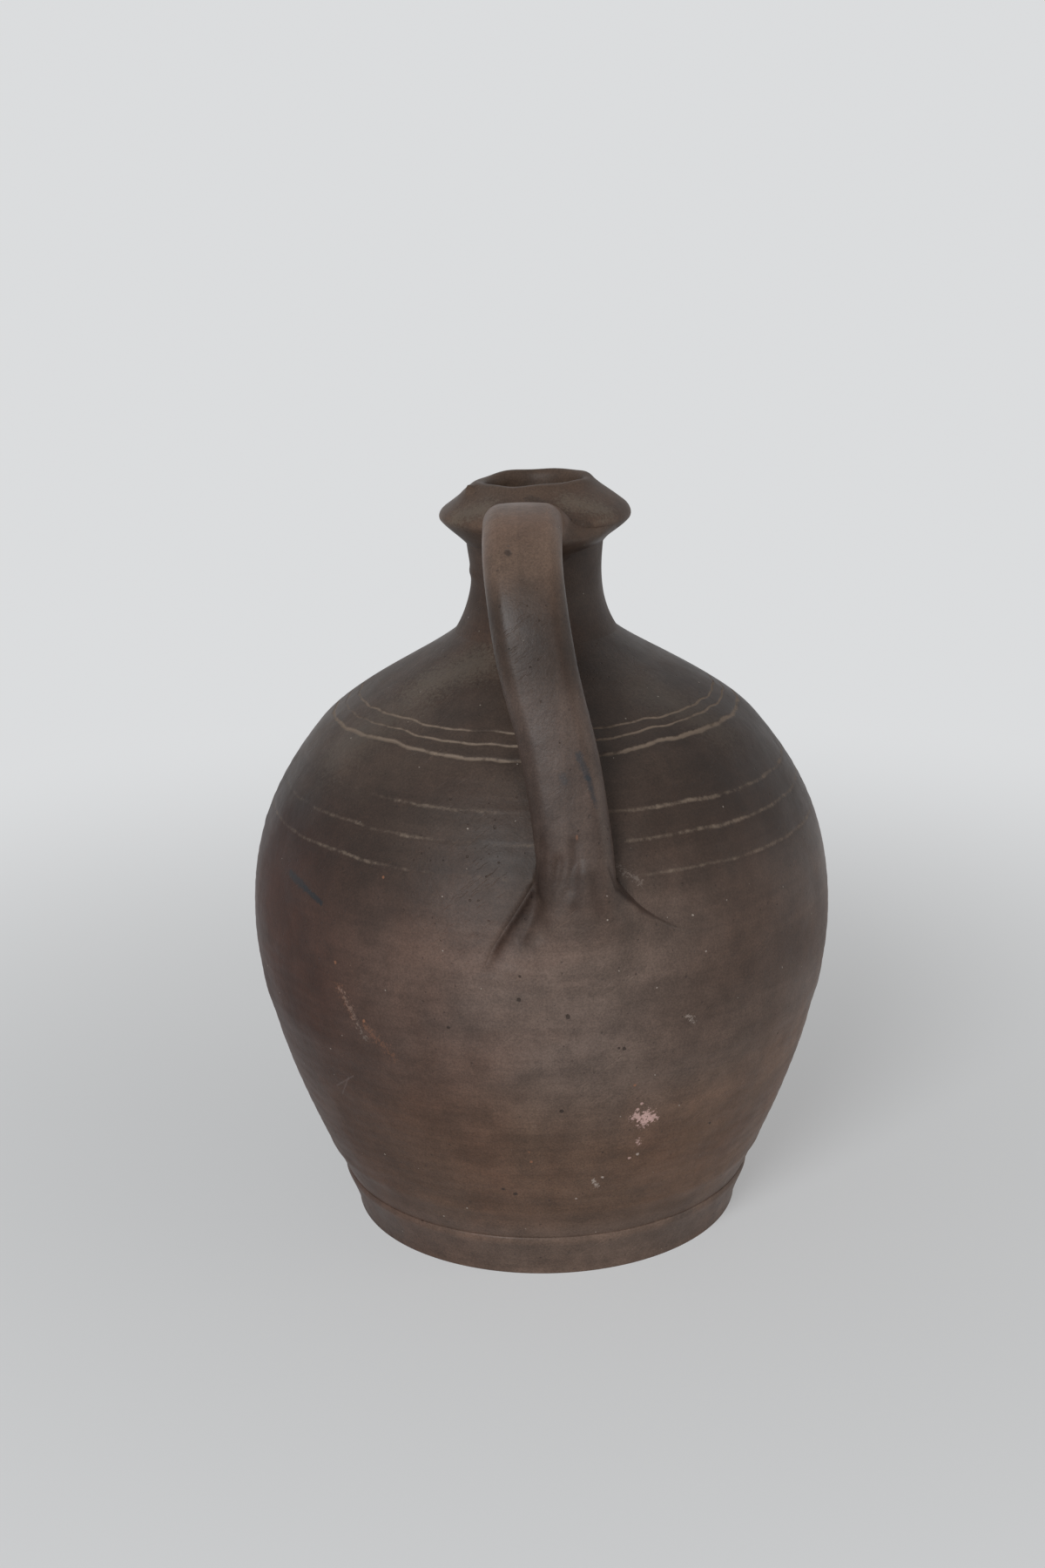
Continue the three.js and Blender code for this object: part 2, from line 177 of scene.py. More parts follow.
def new_piece(name, points, faces, marks, sharp_rows=None, row_of=None):
    """Mesh object in metres with its marks as point attributes."""
    mesh = bpy.data.meshes.new(name)
    mesh.from_pydata((np.asarray(points) * MM).tolist(), [], faces)
    mesh.update(calc_edges=True)
    mesh.shade_smooth()
    for mark in MARKS:
        values = np.broadcast_to(marks.get(mark, 0.0), len(points)).astype(np.float32)
        mesh.attributes.new(mark, "FLOAT", "POINT").data.foreach_set("value", values)
    if sharp_rows is not None:
        ends = np.zeros(2 * len(mesh.edges), np.int32)
        mesh.edges.foreach_get("vertices", ends)
        rows = row_of[ends.reshape(-1, 2)]
        sharp = (rows[:, 0] == rows[:, 1]) & np.isin(rows[:, 0], sharp_rows)
        mesh.attributes.new("sharp_edge", "BOOLEAN", "EDGE").data.foreach_set("value", sharp)
    piece = bpy.data.objects.new(name, mesh)
    bpy.context.scene.collection.objects.link(piece)
    return piece


def wall_edges(outer_rings, rings):
    """First and last ring of a wall's outside and of its inside, where its edges are sharp."""
    return [0, outer_rings - 1, outer_rings, rings - 1]


def turned_piece(name, radii, heights, marks, sharp_rows, poles=()):
    """Closed skin over rings. radii and heights are (rings, SEGMENTS) grids; without poles the last
    ring joins the first, and with poles (two heights) both ends close on the axis."""
    rings = len(radii)
    points = np.stack([radii * np.sin(ANGLES), -radii * np.cos(ANGLES), heights], 2).reshape(-1, 3)
    row_of = np.repeat(np.arange(rings), SEGMENTS)
    low = np.arange(SEGMENTS)
    high = (low + 1) % SEGMENTS
    faces = []
    for ring in range(rings - 1 if poles else rings):
        a = ring * SEGMENTS
        b = (ring + 1) % rings * SEGMENTS
        faces.append(np.c_[a + low, a + high, b + high, b + low])
    faces = np.vstack(faces).tolist()
    flat_marks = {k: np.asarray(v, float).reshape(-1) for k, v in marks.items()}
    if poles:
        start, end = len(points), len(points) + 1
        points = np.vstack([points, [[0, 0, poles[0]], [0, 0, poles[1]]]])
        row_of = np.r_[row_of, -1, -2]
        top = (rings - 1) * SEGMENTS
        faces += np.c_[high, low, np.full(SEGMENTS, start)].tolist()
        faces += np.c_[top + low, top + high, np.full(SEGMENTS, end)].tolist()
        flat_marks = {k: np.r_[v, 0, 0] for k, v in flat_marks.items()}
    return new_piece(name, points, faces, flat_marks, np.asarray(sharp_rows), row_of)


def mouth_drift(x, y, radius, height):
    """How far the mouth ring stands out beyond its outline: uneven, and more on the right."""
    side = x / np.maximum(np.hypot(x, y), 1)
    drift = (0.55 + 0.55 * side) * ease(267, 275, height) * ease(288, 279, height)
    lifted = ease(collar_foot, collar_foot + 4, height)
    wave = 0.3 * ripple(np.arctan2(x, -y), (2, 3, 5), 8) * ease(bore_radius, 22, radius)
    return drift * ease(24, 28, radius) + (wave - 0.2) * lifted


# Small knocks and lumps on the body: turn from the handle in degrees, height, how far out, and size
KNOCKS = (
    (-84, 97, 0.45, 1.6),
    (-86, 161, 0.3, 1.8),
    (-85, 184.5, -0.45, 1.7),
    (-79, 203, 0.25, 2.2),
    (83, 187, -0.3, 2.0),
    (88, 117, 0.3, 2.2),
    (80, 66, -0.3, 2.4),
    (-76, 72, -0.25, 2.0),
    (-9, 108, -0.35, 2.6),
    (150, 140, -0.4, 2.5),
    (-140, 90, -0.35, 2.2),
)


def knocked(radii, heights):
    """How far the knocks move the wall."""
    moved = np.zeros_like(radii)
    for turned, height, out, size in KNOCKS:
        sideways = radii * ((ANGLES - np.radians(turned) + np.pi) % (2 * np.pi) - np.pi)
        moved += out * hump(sideways, 0, size) * hump(heights, height, size)
    return moved


def grid(values):
    """One value a ring, spread round the axis."""
    return np.repeat(np.asarray(values, float)[:, None], SEGMENTS, 1)


def lean_mouth(x, height):
    """Height with the pressed mouth's lean, from the collar's edge up."""
    share = np.clip((height - collar_edge) / (rim_height - collar_edge), 0, 1)
    return height + mouth_lean * share * x


# Foot: a shallow dish with a banded side


def make_foot():
    side = bezier([(76.4, 0), (76.2, 1.2), (77.2, 5), (78.6, 9), (80.6, 13.2), (81.4, 15.4)], 22)
    edge = bezier([(81.4, 15.4), (81.5, 16.9), (81.2, band_top), (wall_foot_radius, band_top)], 8)
    inside = wall_foot_radius - foot_wall
    corner = bezier([(inside, band_top), (inside, floor_height), (inside - 14, floor_height)], 8)
    under = np.c_[np.linspace(8, 72, 9), np.zeros(9)]
    floor = np.c_[np.linspace(46, 8, 4), np.full(4, floor_height)]
    line = np.vstack([under, side, edge[1:], corner, floor])
    wear_and_highlight = np.zeros(len(line))
    rim = len(under) + len(side)
    # The band's crisp upper edge is paled: partly rubbed wear, partly a painted highlight where the edge
    # catches the light.
    wear_and_highlight[rim - 3 : rim + len(edge) - 1] = 1
    radii = grid(line[:, 0])
    sharp = [len(under) - 1, rim + len(edge) - 2, rim + len(edge) - 1]
    marks = {"wear_and_highlight": grid(wear_and_highlight)}
    return turned_piece("thrown_foot", radii, grid(line[:, 1]), marks, sharp, poles=(0, floor_height))


def make_belly():
    inner = inner_line(belly_line, foot_wall, belly_wall, 14)
    inner[0] = (belly_radius - belly_wall, belly_height)
    inner[-1] = (wall_foot_radius - foot_wall, band_top)
    line = np.vstack([belly_line, inner])
    ledge = 0.35 * hump(line[:, 1], 30.5, 2.2) - 0.3 * hump(line[:, 1], 25.5, 3.5)
    ledge += 0.3 * hump(line[:, 1], 97, 5) - 0.25 * hump(line[:, 1], 86, 6)
    ledge[len(belly_line) :] = 0
    radii = grid(line[:, 0] + ledge)
    outer = slice(0, len(belly_line))
    radii[outer] += knocked(radii[outer], grid(line[outer, 1]))
    sharp = wall_edges(len(belly_line), len(line))
    return turned_piece("thrown_belly", radii, grid(line[:, 1]), {}, sharp)


# Lower root: the fan's lips and lower edge, as x along height or height along x
LEFT_LIP_HEIGHTS = (120, 131, 135, 138.9, 143.5, 148, 158.3, 166.2, 176)
LEFT_LIP_PLACES = (-27, -23.4, -21.4, -18.9, -17, -14.2, -7.1, -1.9, -0.6)
RIGHT_LIP_PLACES = (22, 25.2, 30.2, 34.1, 38.6, 43.2, 47.9, 56)
RIGHT_LIP_HEIGHTS = (176, 165.3, 159.5, 155.3, 151.8, 148.7, 146.1, 143)
FAN_EDGE_PLACES = (-27, -21, -7, 5, 17, 29, 42, 52)
FAN_EDGE_HEIGHTS = (127, 129, 128, 127.5, 128.5, 132, 137, 143)
# Thumb and finger flutes: points (x, height), width, depth
FLUTES = (
    (((6.2, 176), (5.0, 169.2), (0.6, 160.6), (-3.6, 152.4), (-6.5, 147)), 1.7, 1.1),
    (((11.8, 182), (11.8, 173), (12.2, 166), (11.6, 160)), 1.8, 0.55),
    (((18.4, 171), (18.8, 164), (20.4, 157)), 1.9, 0.7),
)


def near_path(x, z, path, width):
    """Soft mask around a path in the (x, height) plane."""
    best = np.full(x.shape, 1e9)
    for a, b in zip(path, path[1:]):
        dx, dz = b[0] - a[0], b[1] - a[1]
        t = np.clip(((x - a[0]) * dx + (z - a[1]) * dz) / (dx * dx + dz * dz), 0, 1)
        best = np.minimum(best, (x - a[0] - t * dx) ** 2 + (z - a[1] - t * dz) ** 2)
    return np.exp(-best / width**2)


def lip_distances(x, z):
    """How far inside the left lip, the right lip and the lower edge a point is."""
    lip = np.interp(z, LEFT_LIP_HEIGHTS, LEFT_LIP_PLACES)
    left = (x - lip) / 1.2
    top = np.interp(x, RIGHT_LIP_PLACES, RIGHT_LIP_HEIGHTS)
    right = (top - z) / 1.3
    edge = z - np.interp(x, FAN_EDGE_PLACES, FAN_EDGE_HEIGHTS)
    return left, right, edge


# How far the wall is pressed in under the fan
FAN_PRESS = 2.6


def under_fan(x, z):
    """Mask of the wall that lies well under the fan, where it is pressed in."""
    left, right, edge = lip_distances(x, z)
    return ease(-0.4, 0.9, left) * ease(0.4, 2, right) * ease(5, 10, edge) * ease(170, 166, z)


# Shoulder, with its cut lines. Each line: rise above the belly, lean, depth, width, and how strongly it
# shows from left to right across the side that faces the handle, then round the back.

CUT_PLACES = (-80, -60, -45, -30, -20, -8, 8, 20, 32, 45, 60, 80)
CUT_LINES = (
    (87.3, 0.003, 0.4, 1.0, (0.4, 0.8, 0.9, 0.9, 0.3, 0.8, 0.7, 0.7, 0.9, 1, 1, 0.7), 0.8),
    (84.4, 0.010, 0.4, 1.0, (0.3, 0.6, 0.9, 0.9, 0.9, 0.9, 0.7, 0.7, 1, 1, 1, 0.6), 0.8),
    (80.6, 0.007, 0.5, 1.6, (0.8, 1, 1, 1, 0.8, 0.6, 0.5, 0.5, 1, 1.1, 1, 0.7), 0.9),
    (64.2, -0.025, 0.08, 1.9, (0.2, 0.3, 0.35, 0.42, 0.36, 0.24, 0.3, 0.38, 0.46, 0.5, 0.5, 0.4), 0.34),
    (54.8, -0.015, 0.08, 1.9, (0.3, 0.38, 0.42, 0.34, 0.2, 0.3, 0.28, 0.28, 0.38, 0.46, 0.48, 0.42), 0.34),
    (44.0, -0.023, 0.08, 1.8, (0.38, 0.4, 0.3, 0.2, 0.3, 0.3, 0.2, 0.22, 0.34, 0.4, 0.42, 0.42), 0.34),
)


def shoulder_rows():
    """Ring heights: a plain step all over, and fine steps across each line."""
    length = np.r_[0, np.cumsum(np.linalg.norm(np.diff(shoulder_line, axis=0), axis=1))]
    plain = np.interp(np.linspace(0, length[-1], 82), length, shoulder_line[:, 1])
    slope = np.gradient(shoulder_line[:, 0], shoulder_line[:, 1])
    fine = []
    for rise, _, _, width, _, _ in CUT_LINES:
        middle = belly_height + rise
        steepness = np.hypot(1, np.interp(middle, shoulder_line[:, 1], slope))
        fine.append(middle + np.linspace(-0.9, 0.9, 9) * width / steepness)
    fine = np.sort(np.concatenate(fine))
    plain = plain[np.abs(plain[:, None] - fine[None]).min(1) > 0.45]
    plain[0], plain[-1] = belly_height, crease_height
    return np.sort(np.r_[plain, fine])


def leaning_rings(bare, places, front):
    """Heights and radii of the rings once they lean with the lines and waver as a hand does."""
    above = bare - belly_height
    top = crease_height - belly_height
    stations = np.array([0] + [line[0] for line in CUT_LINES[::-1]] + [top])
    leans = np.array([0] + [line[1] for line in CUT_LINES[::-1]] + [0])
    lean = np.interp(above, stations, leans)
    side = np.abs(places)
    front_wobble = -0.9 * (1 - ease(15, 45, side)) + 0.8 * hump(side, 54, 14)
    wobble = hump(above, 80.6, 6) * np.where(front, front_wobble, 0)
    hand = 0.25 * ripple(ANGLES, (5, 9, 14, 23, 37), 4)[None] * ease(38, 46, above)
    hand = hand * (1 - ease(100, top, above))
    heights = bare + lean * places + wobble + hand
    radii = radius_at(heights)
    heights[0], heights[-1] = belly_height, crease_height
    radii[0], radii[-1] = shoulder_line[0, 0], shoulder_line[-1, 0]
    return heights, radii


def cut_in(bare, places, front, heights, radii):
    """The rings with the lines cut in, and how much pale residue lies in each line."""
    slope = np.gradient(shoulder_line[:, 0], shoulder_line[:, 1])
    tilt = np.interp(heights, shoulder_line[:, 1], slope)
    steep = np.hypot(1, tilt)
    residue = np.zeros_like(radii)
    for seed, (rise, _, depth, width, shown, behind) in enumerate(CUT_LINES):
        across_line = (bare - belly_height - rise) * steep / width
        shape = np.exp(-((2.1 * across_line) ** 2) * 1.4)
        strength = np.where(front, np.interp(places, CUT_PLACES, shown), behind)
        strength = strength * (1 + 0.2 * ripple(ANGLES, (7, 16, 29, 53, 90), 20 + seed)[None])
        strength = np.clip(strength, 0, 1.25)
        cut = depth * (0.45 + 0.55 * strength) * shape
        radii = radii - cut / steep
        heights = heights - cut * np.abs(tilt) / steep
        ridges = hump(across_line, 0.75, 0.22) + hump(across_line, -0.75, 0.22)
        radii = radii + 0.22 * depth * strength * ridges / steep
        residue = np.maximum(residue, strength * np.exp(-((1.75 * across_line) ** 2)))
    return heights, radii, residue


def make_shoulder():
    rows = shoulder_rows()
    front = np.cos(ANGLES) > 0
    bare = grid(rows)
    places = radius_at(bare) * np.sin(ANGLES)
    heights, radii = leaning_rings(bare, places, front)
    heights, radii, residue = cut_in(bare, places, front, heights, radii)
    pressed = FAN_PRESS * np.where(front, under_fan(places, heights), 0)
    radii = radii - pressed + knocked(radii, heights)
    inner = inner_line(shoulder_line, belly_wall, crease_wall, 16)
    inner[0] = (bore_radius, crease_height)
    inner[-1] = (belly_radius - belly_wall, belly_height)
    marks = {"residue": np.vstack([residue, grid(np.zeros(len(inner)))])}
    radii = np.vstack([radii, grid(inner[:, 0])])
    heights = np.vstack([heights, grid(inner[:, 1])])
    return turned_piece("thrown_shoulder", radii, heights, marks, wall_edges(len(rows), len(radii)))


def make_neck():
    bore = np.c_[np.full(6, bore_radius), np.linspace(collar_foot, crease_height, 6)]
    line = np.vstack([neck_line, bore])
    radii = grid(line[:, 0])
    heights = grid(line[:, 1])
    left = (1 + np.tanh(-(radii * np.sin(ANGLES) + 8) / 5)) / 2
    draw = 0.7 * left * hump(heights, 252, 8)
    draw[len(neck_line) :] = 0
    lump = 0.7 * hump(radii * np.sin(ANGLES), -24.2, 1.6) * hump(heights, 255, 1.8)
    lump[len(neck_line) :] = 0
    sharp = wall_edges(len(neck_line), len(line))
    return turned_piece("thrown_neck", radii - draw + lump, heights, {}, sharp)


def make_collar():
    bore = [(bore_radius, height) for height in (279, 272, collar_foot)]
    throat = np.vstack([throat_line[1:], bore])
    line = np.vstack([collar_line, throat])
    radii, heights = grid(line[:, 0]), grid(line[:, 1])
    x = radii * np.sin(ANGLES)
    y = -radii * np.cos(ANGLES)
    top_wave = 0.3 * ripple(ANGLES, (2, 4, 7), 12)[None] * ease(282, 289, heights)
    drift = mouth_drift(x, y, radii, heights)
    heights = lean_mouth(x, heights) + top_wave - 0.3 * ease(282, 289, heights)
    swell = hump(x, -24.5, 4.0) * hump(y, -7.0, 7.0) * ease(280, 285, heights)
    lump = hump(x, -23.0, 1.4) * hump(y, -9.4, 2.2) * ease(282, 286, heights)
    heights = heights + (1.2 * swell + 1.7 * lump) * ease(18.5, 21, radii)
    drift = drift + 0.9 * swell + 0.8 * lump
    wear_and_highlight = hump(line[:, 1], collar_edge, 1.6) * (line[:, 0] > 34)
    wear_and_highlight += 0.6 * hump(line[:, 1], rim_height, 1.0)
    sharp = [0, len(line) - 1]
    return turned_piece("mouth_ring", radii + drift, heights, {"wear_and_highlight": grid(wear_and_highlight)}, sharp)


# Handle: one field in space joins the strap to the body with rounded corners, and its skin is then
# parted into the strap and its two roots. Distances are in mm, negative inside the clay.

WALL_STEP = 0.5
wall_reach = np.arange(8, 130, WALL_STEP)
wall_rise = np.arange(112, 300, WALL_STEP)


def wall_table():
    """Distance to the body's outline over a (radius, height) table."""
    places = np.stack(np.meshgrid(wall_reach, wall_rise, indexing="ij"), 2).reshape(-1, 2)
    starts, ends = outside[:-1], outside[1:]
    span = ends - starts
    length = (span**2).sum(1)
    best = np.full(len(places), 1e9)
    for a, d, n in zip(starts, span, length):
        t = np.clip(((places - a) @ d) / n, 0, 1)
        away = places - a - t[:, None] * d
        best = np.minimum(best, (away**2).sum(1))
    crossings = np.zeros(len(places), int)
    for a, b in zip(starts, ends):
        spans = (a[1] > places[:, 1]) != (b[1] > places[:, 1])
        if a[1] != b[1]:
            at = a[0] + (places[:, 1] - a[1]) / (b[1] - a[1]) * (b[0] - a[0])
            crossings += spans & (places[:, 0] < at)
    sign = np.where(crossings % 2 == 1, -1, 1)
    return (sign * np.sqrt(best)).reshape(len(wall_reach), len(wall_rise))


wall_distances = wall_table()


def wall_field(x, y, z):
    """Distance to the bare body, leaning mouth included."""
    share = np.clip((z - collar_edge) / (rim_height - collar_edge), 0, 1)
    radius = np.hypot(x, y)
    radius = radius - mouth_drift(x, y, radius, z)
    column = np.clip((radius - wall_reach[0]) / WALL_STEP, 0, len(wall_reach) - 1.001)
    row = np.clip((z - mouth_lean * share * x - wall_rise[0]) / WALL_STEP, 0, len(wall_rise) - 1.001)
    i, j = column.astype(int), row.astype(int)
    s, t = column - i, row - j
    table = wall_distances
    low = table[i, j] * (1 - s) + table[i + 1, j] * s
    high = table[i, j + 1] * (1 - s) + table[i + 1, j + 1] * s
    return low * (1 - t) + high * t


# Middle line of the strap from inside the collar to inside the wall: distance out, height
STRAP_LINE = (
    (23.8, collar_edge),
    (51.8, collar_edge + 4.1),
    (69.8, collar_edge - 1.3),
    (82.8, collar_edge - 14.5),
    ((82.8 + radius_at(172) + 4.8) / 2 + 2, 217),
    (radius_at(172) + 4.8, 172),
    (106.6, 157),
    (103.4, 142),
    (100.6, 127),
)
# Share of the way, then sideways place, width and thickness
STRAP_SHARES = (0, 0.14, 0.28, 0.43, 0.6, 0.78, 1)
STRAP_SIDEWAYS = (-3.9, -4.2, -4.1, -0.4, 7.4, 12.0, 12.6)
STRAP_WIDTHS = (29.6, 28.2, 27.4, 27.4, 27.0, 26.9, 28.0)
STRAP_DEPTHS = (14.4, 14.4, 14.2, 14.2, 14.4, 14.4, 14.4)
# Radius of the strap's corners, and how far its outer and inner faces swell in the middle
STRAP_CORNER = 6.2
STRAP_CROWNS = (1.3, 1.0)


def strap_samples():
    """Even samples of the strap: middle line, outward normal, and its three measures."""
    line = np.array(STRAP_LINE)
    knots = np.r_[0, np.cumsum(np.linalg.norm(np.diff(line, axis=0), axis=1) ** 0.5)]
    dense = flow(knots, line, np.linspace(0, knots[-1], 2000))
    run = np.r_[0, np.cumsum(np.linalg.norm(np.diff(dense, axis=0), axis=1))]
    at = np.linspace(0, run[-1], 320)
    middle = np.c_[np.interp(at, run, dense[:, 0]), np.interp(at, run, dense[:, 1])]
    along = np.gradient(middle, axis=0)
    along /= np.linalg.norm(along, axis=1)[:, None]
    rows = (STRAP_SIDEWAYS, STRAP_WIDTHS, STRAP_DEPTHS)
    measures = np.array([flow(STRAP_SHARES, row, at / run[-1]) for row in rows])
    return middle, np.c_[-along[:, 1], along[:, 0]], measures.T


strap_middle, strap_normal, strap_measures = strap_samples()


def nearest_sample(y, z):
    """Index of the nearest strap sample in the strap's own plane."""
    flat = np.c_[-y.ravel(), z.ravel()]
    found = np.empty(len(flat), int)
    for start in range(0, len(flat), 20000):
        part = flat[start : start + 20000]
        away = ((part[:, None] - strap_middle[None]) ** 2).sum(2)
        found[start : start + 20000] = away.argmin(1)
    return found.reshape(y.shape)


def strap_field(x, y, z, near):
    """Distance to the strap: a rounded rectangle with crowned faces."""
    middle, normal, measures = strap_middle[near], strap_normal[near], strap_measures[near]
    out, rise = -y - middle[..., 0], z - middle[..., 1]
    stand = out * normal[..., 0] + rise * normal[..., 1]
    past = np.abs(out * normal[..., 1] - rise * normal[..., 0])
    side = x - measures[..., 0]
    half_width, half_depth = measures[..., 1] / 2, measures[..., 2] / 2
    share = np.minimum(np.abs(side) / half_width, 1.2) ** 2
    crown = np.where(stand > 0, STRAP_CROWNS[0], -STRAP_CROWNS[1]) * share
    across = np.abs(side) - half_width + STRAP_CORNER
    deep = np.abs(stand + crown) - half_depth + STRAP_CORNER
    gap = np.hypot(np.maximum(across, 0), np.maximum(deep, 0)) + np.minimum(np.maximum(across, deep), 0)
    gap = gap - STRAP_CORNER
    past = np.maximum(past - 0.7, 0)
    return np.where(gap > 0, np.hypot(gap, past), np.where(past > 0, past, gap))


# How far the roots' clay reaches below the bare wall, and how far it dives where it ends
CLAY_DEPTH = 3.8
CLAY_DIVE = 4.5


def fan_thickness(x, z):
    """Thickness of the smeared clay over the belly."""
    left, right, edge = lip_distances(x, z)
    rise = np.maximum(edge, 0)
    body = 0.26 * rise**2 / (rise + 12) * (0.3 + 0.7 * hump(x, 13.5, 15)) + 0.06 * edge
    lifted = 1.7 * np.exp(-np.maximum(right, 0) / 9) * ease(46, 34, x)
    body = np.maximum(body, lifted * ease(0, 16, edge))
    hollow = ease(13, 3, left) * ease(0, 16, edge)
    body = body * (1 - hollow) - 1.2 * hollow
    lip = 0.9 * np.minimum(left, 0) * ease(0, 8, edge) + 0.06 * np.minimum(edge, 0)
    clay = np.where(left < 0, lip, lip + (body - lip) * ease(0, 2.6, left))
    clay = clay * ease(-1.0, 0.0, right) - CLAY_DIVE * ease(-0.2, -1.6, right)
    dive = ease(0, -10, edge) + ease(-2, -8, left) + ease(172, 178, z) + ease(52, 56.5, x)
    return clay - CLAY_DIVE * dive


# Upper root: the web's lower edge on the neck, as height along x
WEB_PLACES = (2, 10.4, 12.4, 14.3, 17.2, 20.3, 23.2, 25.8, 29)
WEB_HEIGHTS = (258, 261.8, 263.2, 264.6, 265.5, 266.2, 267.6, 269.3, 272.5)


def web_thickness(x, y, z):
    """Thickness of the clay on the neck and under the collar, on the strap's right."""
    above = z - np.interp(x, WEB_PLACES, WEB_HEIGHTS)
    near = ease(32, 17, x) * ease(2, 8, x) * ease(-9.5, -14, y)
    clay = (0.4 + 1.2 * ease(0, 4, above) + 3.0 * hump(z, 270.6, 3.4)) * near * ease(276, 272, z)
    dive = ease(0.1, -1.0, above) + ease(0.06, 0.0, near) + ease(274.5, 279, z)
    return clay * ease(-0.8, 0.2, above) - CLAY_DIVE * np.minimum(dive, 1)


# Radii that round the corner between strap and body: at the upper root, more in its web and under the
# strap's crown, and at the lower root, more at its right
UPPER_FILLET, WEB_FILLET, CROWN_FILLET = 1.5, 11, 2.5
LOWER_FILLET, LOWER_RIGHT_FILLET = 3.2, 3
UPPER_ROOT_FLOOR = 215


def handle_field(x, y, z, near):
    """Distance to the handle with its roots."""
    wall = wall_field(x, y, z)
    strap = strap_field(x, y, z, near)
    high = z > UPPER_ROOT_FLOOR
    clay = np.where(high, web_thickness(x, y, z), fan_thickness(x, z))
    web = ease(0, 10, x)
    under_crown = ease(-30, -38, y) * ease(276, 268, z)
    upper = UPPER_FILLET + WEB_FILLET * web + CROWN_FILLET * under_crown * (1 - web)
    upper = upper - 4.5 * web * ease(278, 283, z)
    radius = np.where(high, upper, LOWER_FILLET + LOWER_RIGHT_FILLET * ease(5, 20, x))
    seated = wall - clay
    joined = np.maximum(radius, np.minimum(seated, strap))
    joined = joined - np.hypot(np.maximum(radius - seated, 0), np.maximum(radius - strap, 0))
    if not high.all():
        press = sum(depth * near_path(x, z, path, width) for path, width, depth in FLUTES)
        joined = joined + press * ~high * ease(-60, -80, y)
    return np.maximum(joined, -CLAY_DEPTH - wall)


# The grid in which the handle's skin is found: its step and its two far corners
NET_STEP = 0.72
NET_LOW = (-40.0, -116.0, 116.6)
NET_HIGH = (60.0, -6.0, 290.0)
# Distance that just counts as clay, and the one over which the skin's slope is measured
BARELY_CLAY = -0.02
PROBE = 0.12


def skin(distances, low, step):
    """Surface nets: one vertex in each cell that the zero surface crosses, one face for each crossed
    grid edge, facing outwards."""
    inside = distances < 0
    shape = np.array(inside.shape) - 1
    corners = [(i, j, k) for i in (0, 1) for j in (0, 1) for k in (0, 1)]

    def corner(array, c):
        return array[c[0] : c[0] + shape[0], c[1] : c[1] + shape[1], c[2] : c[2] + shape[2]]

    filled = sum(corner(inside, c).astype(np.int8) for c in corners)
    cells = np.argwhere((filled > 0) & (filled < 8))
    index = np.full(shape, -1)
    index[tuple(cells.T)] = np.arange(len(cells))
    total, count = np.zeros((len(cells), 3)), np.zeros(len(cells))
    for a in corners:
        for axis in range(3):
            if a[axis]:
                continue
            b = tuple(v + (axis == n) for n, v in enumerate(a))
            va = distances[tuple((cells + a).T)]
            vb = distances[tuple((cells + b).T)]
            crossed = (va < 0) != (vb < 0)
            share = np.where(crossed, va / np.where(crossed, va - vb, 1), 0)
            place = np.repeat(np.array(a, float)[None], len(cells), 0)
            place[:, axis] += share
            total += place * crossed[:, None]
            count += crossed
    points = np.array(low) + (cells + total / count[:, None]) * step
    faces = []
    for axis in range(3):
        b, c = (axis + 1) % 3, (axis + 2) % 3
        first = [slice(1, -1)] * 3
        first[axis] = slice(0, -1)
        second = list(first)
        second[axis] = slice(1, None)
        here, there = inside[tuple(first)], inside[tuple(second)]
        for leaves, forward in ((here & ~there, True), (~here & there, False)):
            at = np.argwhere(leaves)
            at[:, b] += 1
            at[:, c] += 1
            ring = []
            for db, dc in ((-1, -1), (0, -1), (0, 0), (-1, 0)):
                cell = at.copy()
                cell[:, b] += db
                cell[:, c] += dc
                ring.append(index[tuple(cell.T)])
            ring = np.stack(ring, 1)
            faces.append(ring if forward else ring[:, ::-1])
    return points, np.vstack(faces)


def without_diagonals(distances):
    """Adds one corner of clay to each grid square whose clay meets only across a diagonal, so that no
    edge of the skin has four faces."""
    found = True
    while found:
        inside = distances < 0
        found = False
        for a, b in ((0, 1), (0, 2), (1, 2)):
            corner = []
            for step_a, step_b in ((0, 0), (1, 0), (0, 1), (1, 1)):
                part = [slice(None)] * 3
                part[a] = slice(step_a, distances.shape[a] - 1 + step_a)
                part[b] = slice(step_b, distances.shape[b] - 1 + step_b)
                corner.append(tuple(part))
            here = [inside[part] for part in corner]
            rising = here[0] & here[3] & ~here[1] & ~here[2]
            falling = here[1] & here[2] & ~here[0] & ~here[3]
            for meets, part in ((rising, corner[1]), (falling, corner[0])):
                found = found or bool(meets.any())
                distances[part][meets] = BARELY_CLAY
    return distances


def largest_part(points, faces):
    """The one connected skin, without the crumbs that the thin margins leave."""
    label = np.arange(len(points))
    while True:
        joined = label.copy()
        np.minimum.at(joined, faces.ravel(), np.repeat(label[faces].min(1), 4))
        joined = joined[joined]
        if (joined == label).all():
            break
        label = joined
    kept = label == np.bincount(label).argmax()
    index = np.cumsum(kept) - 1
    return points[kept], index[faces[kept[faces[:, 0]]]]


